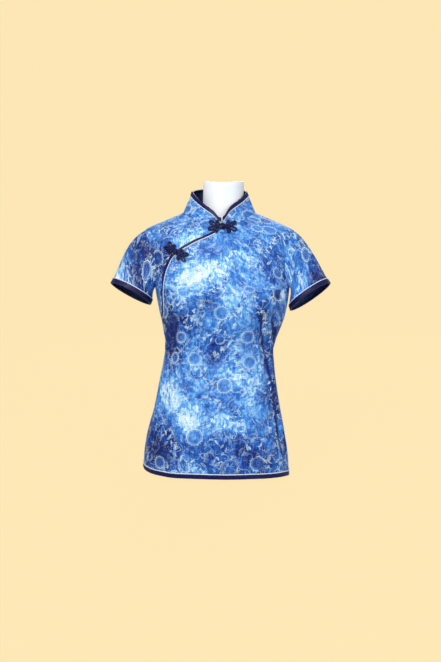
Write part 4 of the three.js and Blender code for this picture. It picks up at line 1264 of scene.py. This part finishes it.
def running_stitch_tree(material):
    """Beads of thread at even steps along lines, as real geometry with a material."""
    tree = bpy.data.node_groups.new("running_stitch", "GeometryNodeTree")
    sockets = [("Lines", "INPUT", "Geometry"), ("Step", "INPUT", "Float"), ("Length", "INPUT", "Float"),
               ("Thickness", "INPUT", "Float"), ("Stitches", "OUTPUT", "Geometry")]
    for name, way, kind in sockets:
        tree.interface.new_socket(name, in_out=way, socket_type="NodeSocket" + kind)
    nodes = linked_nodes(tree, {
        "source": "NodeGroupInput", "curve": "GeometryNodeMeshToCurve", "even": "GeometryNodeResampleCurve",
        "bead": "GeometryNodeMeshUVSphere", "tangent": "GeometryNodeInputTangent",
        "align": "FunctionNodeAlignRotationToVector", "size": "ShaderNodeCombineXYZ",
        "place": "GeometryNodeInstanceOnPoints", "real": "GeometryNodeRealizeInstances",
        "paint": "GeometryNodeSetMaterial", "end": "NodeGroupOutput",
    }, (("even", "mode", "LENGTH"), ("align", "axis", "Z")), (
        ("source", "Lines", "curve", "Mesh"), ("curve", "Curve", "even", "Curve"),
        ("source", "Step", "even", "Length"), ("tangent", "Tangent", "align", "Vector"),
        ("source", "Thickness", "size", "X"), ("source", "Thickness", "size", "Y"),
        ("source", "Length", "size", "Z"), ("even", "Curve", "place", "Points"),
        ("bead", "Mesh", "place", "Instance"), ("align", "Rotation", "place", "Rotation"),
        ("size", "Vector", "place", "Scale"), ("place", "Instances", "real", "Geometry"),
        ("real", "Geometry", "paint", "Geometry"), ("paint", "Geometry", "end", "Stitches"),
    ))
    for name, value in (("Segments", 6), ("Rings", 4), ("Radius", 0.5)):
        nodes["bead"].inputs[name].default_value = value
    nodes["paint"].inputs["Material"].default_value = material
    return tree


def sewing_lines():
    """Lines of points, each lying on a binding beside its edge, as one mesh of edges."""
    lift = LIE + TRIM + 0.1
    across = np.linspace(-89, 89, 200)
    lines = [cloth_point(turn, hem_height(turn) + HEM_BINDING - STITCH_INSET, lift)
             for turn in (across, 180 - across)]
    around = np.linspace(-180, 180, 150)
    for sleeve in SLEEVES.values():
        along = 1 - (CUFF_BINDING - STITCH_INSET) / sleeve_length(sleeve, around)
        lines.append(sleeve_point(sleeve, around, along, lift))
    turn = collar_turns(260)[3:-3]
    lines.append(collar_point(turn, collar_height(turn) - COLLAR_BINDING + STITCH_INSET, lift))
    points, outs, inwards = wrap_line(130, 10)
    lines.append(points - inwards * 0.8 + outs * lift)
    starts = np.cumsum([0] + [len(line) for line in lines])
    edges = [(start + k, start + k + 1) for start, line in zip(starts, lines) for k in range(len(line) - 1)]
    mesh = bpy.data.meshes.new("sewing_lines")
    mesh.from_pydata(((np.concatenate(lines) + (0, 0, STAND)) * MM).tolist(), edges, [])
    return placed("sewing_lines", mesh)


def add_stitches(material):
    holder = sewing_lines()
    tree = running_stitch_tree(material)
    sewing = holder.modifiers.new("running_stitch", "NODES")
    sewing.node_group = tree
    values = {"Step": STITCH_STEP * MM, "Length": STITCH_LONG * MM, "Thickness": STITCH_THICK * MM}
    for item in tree.interface.items_tree:
        if item.item_type == "SOCKET" and item.name in values:
            sewing[item.identifier] = values[item.name]
    return baked(holder, "binding_stitches")


# Materials

def rgb(code):
    """A colour from its written form, in the light values that the shaders use."""
    parts = [int(code[k:k + 2], 16) / 255 for k in (1, 3, 5)]
    return tuple(c / 12.92 if c <= 0.04045 else ((c + 0.055) / 1.055) ** 2.4 for c in parts) + (1.0,)


class Value:
    """A value in the graph of a material, which can be reckoned with like a number."""

    def __init__(self, graph, socket):
        self.graph, self.socket = graph, socket

    def __add__(self, other):
        return self.graph.math("ADD", self, other)

    def __sub__(self, other):
        return self.graph.math("SUBTRACT", self, other)

    def __rsub__(self, other):
        return self.graph.math("SUBTRACT", other, self)

    def __mul__(self, other):
        return self.graph.math("MULTIPLY", self, other)

    def __truediv__(self, other):
        return self.graph.math("DIVIDE", self, other)

    def __abs__(self):
        return self.graph.math("ABSOLUTE", self)


class Graph:
    """Short ways to write the nodes of one material."""

    def __init__(self, name):
        self.material = bpy.data.materials.new(name)
        self.material.use_nodes = True
        self.tree = self.material.node_tree
        self.shader = self.tree.nodes["Principled BSDF"]

    def feed(self, socket, value):
        if isinstance(value, Value):
            self.tree.links.new(value.socket, socket)
        elif value is not None:
            socket.default_value = rgb(value) if isinstance(value, str) else value

    def node(self, kind, output, fed, **settings):
        """A new node with its settings and its inputs by name or number, and one of its outputs."""
        node = self.tree.nodes.new(kind)
        for key, value in settings.items():
            setattr(node, key, value)
        for key, value in fed.items():
            self.feed(node.inputs[key], value)
        return Value(self, node.outputs[output])

    def math(self, operation, *values):
        return self.node("ShaderNodeMath", 0, dict(enumerate(values)), operation=operation)

    def most(self, first, *others):
        for other in others:
            first = self.math("MAXIMUM", first, other)
        return first

    def sine(self, value):
        return self.math("SINE", value)

    def cosine(self, value):
        return self.math("COSINE", value)

    def vector(self, operation, *values):
        return self.node("ShaderNodeVectorMath", "Vector", dict(enumerate(values)), operation=operation)

    def scaled(self, vector, amount):
        return self.node("ShaderNodeVectorMath", "Vector", {"Vector": vector, "Scale": amount},
                         operation="SCALE")

    def noise(self, place, size, detail=3.0, rough=0.5, distortion=0.0, output="Fac"):
        return self.node("ShaderNodeTexNoise", output, {
            "Vector": place, "Scale": 1 / size, "Detail": detail, "Roughness": rough,
            "Distortion": distortion,
        }, noise_dimensions="3D")

    def turned(self, place, angle, stretch=(1, 1, 1), offset=(0, 0, 0)):
        return self.node("ShaderNodeMapping", "Vector", {
            "Vector": place, "Rotation": (0, 0, math.radians(angle)), "Scale": stretch, "Location": offset,
        }, vector_type="POINT")

    def ramp(self, value, low, high, start=0.0, end=1.0):
        """Smooth change of a value from low to high, as a number between start and end."""
        return self.node("ShaderNodeMapRange", "Result", dict(enumerate((value, low, high, start, end))),
                         interpolation_type="SMOOTHSTEP")

    def mix(self, share, first, second):
        return self.node("ShaderNodeMix", 2, {"Factor": share, 6: first, 7: second}, data_type="RGBA")

    def colours(self, value, stops):
        out = self.node("ShaderNodeValToRGB", "Color", {"Fac": value})
        elements = out.socket.node.color_ramp.elements
        while len(elements) < len(stops):
            elements.new(0.5)
        for element, (place, code) in zip(elements, stops):
            element.position = place
            element.color = rgb(code)
        return out

    def split(self, vector):
        first = self.node("ShaderNodeSeparateXYZ", 0, {"Vector": vector})
        return [Value(self, socket) for socket in first.socket.node.outputs]

    def cut(self):
        """The piece's own cut lengths, in millimetres."""
        return self.scaled(self.node("ShaderNodeUVMap", "UV", {}, uv_map="cut"), 1 / MM)

    def place(self):
        """The place on a piece, in millimetres."""
        return self.scaled(self.node("ShaderNodeTexCoord", "Object", {}), 1 / MM)

    def threads(self, cut, step, angle=0.0):
        """Waves across the warp and the weft of a cloth, one for each thread."""
        across, up, _ = self.split(self.turned(self.scaled(cut, 2 * math.pi / step), angle))
        return self.sine(across), self.sine(up)

    def attribute(self, name):
        return self.node("ShaderNodeAttribute", "Fac", {}, attribute_name=name)

    def bump(self, height, depth, strength=1.0, under=None):
        return self.node("ShaderNodeBump", "Normal", {
            "Height": height, "Distance": depth * MM, "Strength": strength, "Normal": under,
        })

    def shade(self, **values):
        for name, value in values.items():
            self.feed(self.shader.inputs[name.replace("_", " ")], value)
        return self.material


def motif_place(g, place, size, randomness):
    """Distance, angle and three random numbers of the nearest motif of a scattered repeat."""
    spot = g.node("ShaderNodeTexVoronoi", "Position", {
        "Vector": place, "Scale": 1 / size, "Randomness": randomness,
    }, voronoi_dimensions="2D", feature="F1")
    random = g.split(Value(g, spot.socket.node.outputs["Color"]))
    x, y, _ = g.split(g.vector("SUBTRACT", place, spot))
    angle = g.math("ARCTAN2", y, x) + random[0] * 6.283
    return g.math("SQRT", x * x + y * y), angle, random


def drawn(g, gap, width):
    """A soft line where a distance is near zero."""
    return g.ramp(abs(gap), width * 0.45, width, 1, 0)


def ring_flowers(g, place):
    """Large open flowers drawn in line, and the plain discs of cloth that they stand on."""
    r, angle, random = motif_place(g, place, 58, 0.75)
    size = random[2] * 6 + 12
    rim = (g.cosine(angle * 9) * 0.035 + 1) * size
    outer = drawn(g, r - rim, 1.25)
    inner = drawn(g, r + 3.2 - rim, 0.8) * 0.5
    eye = drawn(g, r - 3.2, 0.8) * 0.22
    past = r - size
    beyond = g.ramp(past, 0.8, 1.6) * g.ramp(past, 3.6, 5.2, 1, 0)
    rays = drawn(g, g.sine(angle * 9) * (r / 9), 0.6) * beyond
    chosen = g.ramp(random[1], 0.6, 0.66)
    return g.most(outer, inner, eye, rays) * chosen, g.ramp(r, 14.0, 19.0, 1, 0) * chosen


def star_flowers(g, place):
    """Small flowers of five narrow petals, some drawn and some filled."""
    r, angle, random = motif_place(g, place, 27, 0.9)
    gap = r - (g.cosine(angle * 5) * 0.42 + 0.6) * 8.0
    filled = g.ramp(gap, -0.4, 0.4, 1, 0) * g.ramp(random[2], 0.72, 0.76)
    heart = drawn(g, r - 1.3, 0.8)
    return g.most(drawn(g, gap, 0.95), heart, filled * 0.3) * g.ramp(random[1], 0.5, 0.56)


def leaf_shape(g, place, size, randomness, long, wide):
    """Share along and place across the nearest leaf, the gap to its edge, and random numbers."""
    r, angle, random = motif_place(g, place, size, randomness)
    share = r * g.cosine(angle) / long
    across = abs(r * g.sine(angle))
    return abs(share), across, across - (1 - share * share) * wide, random


def leaf_strokes(g, place, size, long, wide, rare):
    """Narrow leaves with a middle vein, each turned its own way."""
    share, across, gap, random = leaf_shape(g, place, size, 0.95, long, wide)
    outline = drawn(g, gap, 0.75) * g.ramp(share, 1.0, 1.12, 1, 0)
    vein = drawn(g, across, 0.5) * g.ramp(share, 1.25, 1.4, 1, 0)
    filled = g.ramp(gap, -0.3, 0.3, 1, 0) * g.ramp(random[2], 0.62, 0.67)
    return g.most(outline, vein, filled * 0.25) * g.ramp(random[1], rare, rare + 0.06)


def foliage(g, place, size, long, wide, offset):
    """Long leaves filled with colour, from below zero at their dark veins to one inside them."""
    turned = g.turned(place, 20, offset=(offset, 2 * offset, 0))
    _, across, gap, random = leaf_shape(g, turned, size, 1.0, long, wide)
    inside = g.ramp(gap, -0.9, 0.5, 1, 0)
    vein = g.ramp(across, 0.3, 0.9, 1, 0) * inside
    return (inside - vein * 1.2) * g.ramp(random[1], 0.25, 0.35)


def berries(g, place):
    """Clusters of dots."""
    r, _, random = motif_place(g, place, 4.6, 0.7)
    grouped = g.ramp(g.noise(place, 21, 1.0), 0.55, 0.6)
    return g.ramp(r, 0.7, 1.3, 1, 0) * grouped * g.ramp(random[1], 0.2, 0.26)


def twigs(g, place):
    """Thin wandering stems."""
    stems = drawn(g, g.noise(place, 44, 1.5) - 0.5, 0.011)
    turned = g.turned(place, 40, offset=(90, 30, 0))
    fine = drawn(g, g.noise(turned, 25, 1.0) - 0.52, 0.014)
    return g.most(stems * 0.8, fine * g.ramp(g.noise(place, 33, 1.0), 0.5, 0.55))


def hand_drawn(g, cut):
    """The place on the print, shaken as by the hand that drew it."""
    place = cut
    for size, detail, reach in ((26, 2.0, 5.0), (5, 1.0, 1.3)):
        shake = g.vector("SUBTRACT", g.noise(cut, size, detail, output="Color"), (0.5, 0.5, 0.5))
        place = g.vector("ADD", place, g.scaled(shake, reach))
    return place


def dye_and_shade_level(g, cut, hand, dye_and_shade, discs):
    """How pale the dyed ground is: clouds, spots and feathered strokes under filled leaves, with the
    painted shade and painted highlight of folds from the point values.
    """
    clouds = g.noise(cut, 52, 7.0, 0.66, 0.5) - 0.5
    spots = g.noise(g.turned(cut, 25, offset=(31, 7, 0)), 12, 5.0, 0.66, 0.7) - 0.5
    streaks = g.noise(g.turned(hand, 62, (1, 0.3, 1)), 5.5, 4.0, 0.62) - 0.5
    upright = g.noise(g.turned(hand, -8, (1, 0.2, 1)), 3.4, 3.0, 0.6) - 0.5
    leaves = foliage(g, hand, 17, 11, 2.7, 12) + foliage(g, hand, 13, 8, 1.9, 47)
    leafy = g.most(g.ramp(dye_and_shade, 0.08, 0.4), g.ramp(g.noise(cut, 37, 2.0), 0.52, 0.62, 0.1, 0.7))
    strength = g.ramp(abs(dye_and_shade), 0.05, 0.5, 0.8, 1.5)
    # The point values bring the painted shade and painted highlight of folds into the tone, with the dyed
    # clouds
    tone = clouds * 2.1 + spots * 1.5 + dye_and_shade * 1.05 + (streaks + upright * 0.7) * strength
    tone = (tone + leaves * leafy * 0.75) * (discs * -0.45 + 1)
    return tone * 0.5 + 0.4


def drawn_marks(g, cut, hand, dye_and_shade, rings, discs):
    """The pale line drawing over the dyed ground, rubbed away in places and faded under dark dyed clouds
    and painted shade.
    """
    marks = g.most(
        star_flowers(g, hand),
        leaf_strokes(g, g.turned(hand, 35), 18, 7.5, 2.4, 0.6),
        leaf_strokes(g, g.turned(hand, -50, offset=(40, 90, 0)), 13, 4.6, 1.5, 0.62),
        berries(g, hand) * 0.8,
        twigs(g, hand) * 0.7,
    )
    grouped = g.ramp(g.noise(cut, 46, 2.0), 0.4, 0.6, 0.35, 1.0)
    worn_and_shaded = g.ramp(g.noise(cut, 9, 3.0, 0.6), 0.34, 0.55, 0.35, 1.0) * grouped
    # Faded where the point values are darkest: under dark dyed clouds and under painted shade
    worn_and_shaded = worn_and_shaded * g.ramp(dye_and_shade, -0.9, -0.4, 0.15, 1)
    return g.most(marks * worn_and_shaded * (discs * -0.85 + 1), rings * (worn_and_shaded * 0.5 + 0.5))


def printed_cotton():
    """Dyed and printed cotton: clouded blues with painted shade and painted highlight along folds, under a
    pale line drawing of flowers and leaves, and a dark inner face painted as shade.
    """
    g = Graph("printed_cotton")
    cut = g.cut()
    hand, dye_and_shade = hand_drawn(g, cut), g.attribute("dye_and_shade")
    rings, discs = ring_flowers(g, hand)
    level = dye_and_shade_level(g, cut, hand, dye_and_shade, discs)
    line_colour = g.mix(g.ramp(level, 0.70, 0.86), "#d9f2f4", "#3f74c8")
    colour = g.mix(drawn_marks(g, cut, hand, dye_and_shade, rings, discs), g.colours(level, BLUES), line_colour)
    # Painted shade: the inner face of every piece is coloured dark navy, as the shade inside the cuffs,
    # collar and hem
    colour = g.mix(g.attribute("inside") * 0.93, colour, "#121a45")
    warp, weft = g.threads(cut, 0.55)
    normal = g.bump(warp * weft, 0.05, 0.35)
    normal = g.bump(g.noise(g.turned(cut, 0, (1, 0.08, 1)), 0.9, 2.0), 0.12, 0.3, normal)
    normal = g.bump(g.noise(cut, 14, 3.0, 0.55), 1.1, 0.4, normal)
    return g.shade(Base_Color=colour, Roughness=g.ramp(level, 0.2, 0.9, 0.5, 0.62), Normal=normal,
                   Sheen_Weight=0.02, Sheen_Roughness=0.45, Specular_IOR_Level=0.22)


def navy_satin():
    """Bias-cut satin for bindings and frog cord, with its fine diagonal threads."""
    g = Graph("navy_satin")
    cut = g.cut()
    twill, _ = g.threads(cut, 0.42, 45)
    uneven = g.noise(g.turned(cut, 40, (0.3, 1, 1)), 2.4, 3.0)
    shade = g.mix(g.ramp(uneven, 0.35, 0.68), "#060934", "#0b115c")
    shade = g.mix(g.ramp(g.noise(cut, 7, 4.0, 0.6), 0.58, 0.72, 0, 0.35), shade, "#232d86")
    normal = g.bump(g.noise(cut, 5.5, 2.0), 0.5, 0.5, g.bump(twill, 0.04, 0.4))
    return g.shade(Base_Color=shade, Roughness=g.ramp(uneven, 0.3, 0.7, 0.37, 0.5), Normal=normal,
                   Sheen_Weight=0.02, Sheen_Roughness=0.35, Specular_IOR_Level=0.28)


def silver_piping():
    """Fine silvery white piping with a twisted thread."""
    g = Graph("silver_piping")
    cut = g.cut()
    twist, _ = g.threads(cut, 0.9, 55)
    shade = g.mix(g.ramp(g.noise(cut, 3.2, 3.0), 0.36, 0.66), "#dfe6f4", "#fafbff")
    # Painted shade: darker in the grooves of the twist, where its bump is low
    shade = g.mix(g.ramp(twist, -1, 0.2, 0.25, 0), shade, "#b4c3da")
    return g.shade(Base_Color=shade, Roughness=0.38, Normal=g.bump(twist, 0.12, 0.5), Sheen_Weight=0.15,
                   Specular_IOR_Level=0.6)


def navy_thread():
    """Sewing thread, a little lighter than the satin."""
    g = Graph("navy_thread")
    twist = g.noise(g.place(), 0.4, 1.0)
    # Painted shade: darker where the bump is low and lighter where it stands high, from one noise
    return g.shade(Base_Color=g.mix(twist, "#1a2058", "#39427e"), Roughness=0.6,
                   Normal=g.bump(twist, 0.03, 0.5))


def form_white():
    """Eggshell white coating of the dress form."""
    g = Graph("form_white")
    place = g.place()
    broad = g.noise(place, 70, 3.0)
    shade = g.mix(g.ramp(broad, 0.35, 0.65), "#eef2f6", "#fbfcfd")
    shade = g.mix(g.ramp(g.noise(place, 1.6, 2.0), 0.66, 0.74, 0, 0.12), shade, "#d9dde4")
    return g.shade(Base_Color=shade, Roughness=g.ramp(broad, 0.3, 0.7, 0.42, 0.52),
                   Normal=g.bump(g.noise(place, 1.1, 2.0), 0.05, 0.3), Specular_IOR_Level=0.45)


def pale_floor():
    """Plain cream paint of the floor and wall, lit evenly from within."""
    g = Graph("pale_floor")
    place = g.node("ShaderNodeTexCoord", "Object", {})
    return g.shade(Base_Color=g.mix(g.noise(place, 0.6, 2.0), "#2e291f", "#302b21"), Roughness=0.95,
                   Specular_IOR_Level=0.0, Emission_Color="#fee8b6", Emission_Strength=0.97)


# The studio

def add_studio():
    for name, place, (wide, tall), power, colour in LIGHTS:
        data = bpy.data.lights.new(name, "AREA")
        data.shape = "RECTANGLE"
        data.size, data.size_y = wide, tall
        data.energy = power
        data.color = colour
        light = placed(name, data)
        light.visible_camera = False
        aimed(light, place, LIGHT_AIM)
    world = bpy.data.worlds.new("studio")
    world.use_nodes = True
    sky = world.node_tree.nodes["Background"]
    sky.inputs["Color"].default_value = SKY_COLOUR
    sky.inputs["Strength"].default_value = SKY_STRENGTH
    bpy.context.scene.world = world
    bpy.context.scene.view_settings.view_transform = "Standard"


def add_backdrop(material):
    """A pale floor that curves up all round into a plain wall."""
    bend = np.radians(np.linspace(0, 90, 13))
    profile = [(400, 0), (1500, 0)]
    profile += [(FLOOR_RADIUS + COVE * math.sin(a), COVE * (1 - math.cos(a))) for a in bend]
    profile.append((FLOOR_RADIUS + COVE, WALL_TOP))
    floor_z = -STAND - FLOOR_GAP
    turn = 2 * np.pi * np.arange(FLOOR_AROUND) / FLOOR_AROUND
    rings = [stacked(r * np.sin(turn), r * np.cos(turn), h + floor_z) for r, h in profile]
    points = np.concatenate([*rings, [(0, 0, floor_z)]])
    faces = grid_faces(len(rings) - 1, FLOOR_AROUND, round_columns=True)
    faces += [(len(points) - 1, (j + 1) % FLOOR_AROUND, j) for j in range(FLOOR_AROUND)]
    floor = new_mesh("floor", points, faces, material)
    floor.visible_diffuse = floor.visible_glossy = floor.visible_shadow = False


# The whole garment

def hand_over(piece, slot, *nodes):
    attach(piece, "root")
    if nodes:
        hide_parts(*nodes)


def build():
    cotton, navy = printed_cotton(), navy_satin()
    satins = navy, silver_piping()
    add_studio()
    add_backdrop(pale_floor())
    form = add_form(form_white())
    hand_over(form, "form_white", "dress_form")
    cloth = {**add_panels(cotton), "collar": add_collar(cotton)}
    trims = {
        "front_panel": [("front_hem_{}", add_hem("front_hem", True, satins)),
                        ("wrap_{}", add_wrap_trim(satins))],
        "back_panel": [("back_hem_{}", add_hem("back_hem", False, satins))],
        "collar": [("collar_{}", add_collar_trim(satins))],
    }
    for name, sleeve in SLEEVES.items():
        cloth["sleeve_" + name] = add_sleeve(name, sleeve, cotton)
        trims["sleeve_" + name] = [("cuff_{}_" + name, add_cuff(name, sleeve, satins))]
    for pairs in trims.values():
        for node, (binding, piping) in pairs:
            hand_over(binding, "navy_satin", node.format("binding"))
            hand_over(piping, "silver_piping", node.format("piping"))
    for frog in FROGS:
        for side, half in ((-1, "_loop"), (1, "_knot")):
            name = "frog_" + frog["name"] + half
            hand_over(add_frog(name, frog, side, navy), "navy_satin", name)
    hand_over(add_stitches(navy_thread()), "navy_satin")
    for node, (width, length, area) in SHEETS.items():
        hand_over(cloth[node], "printed_cotton", node)
        [piece for _, pair in trims.get(node, ()) for piece in pair]


build()
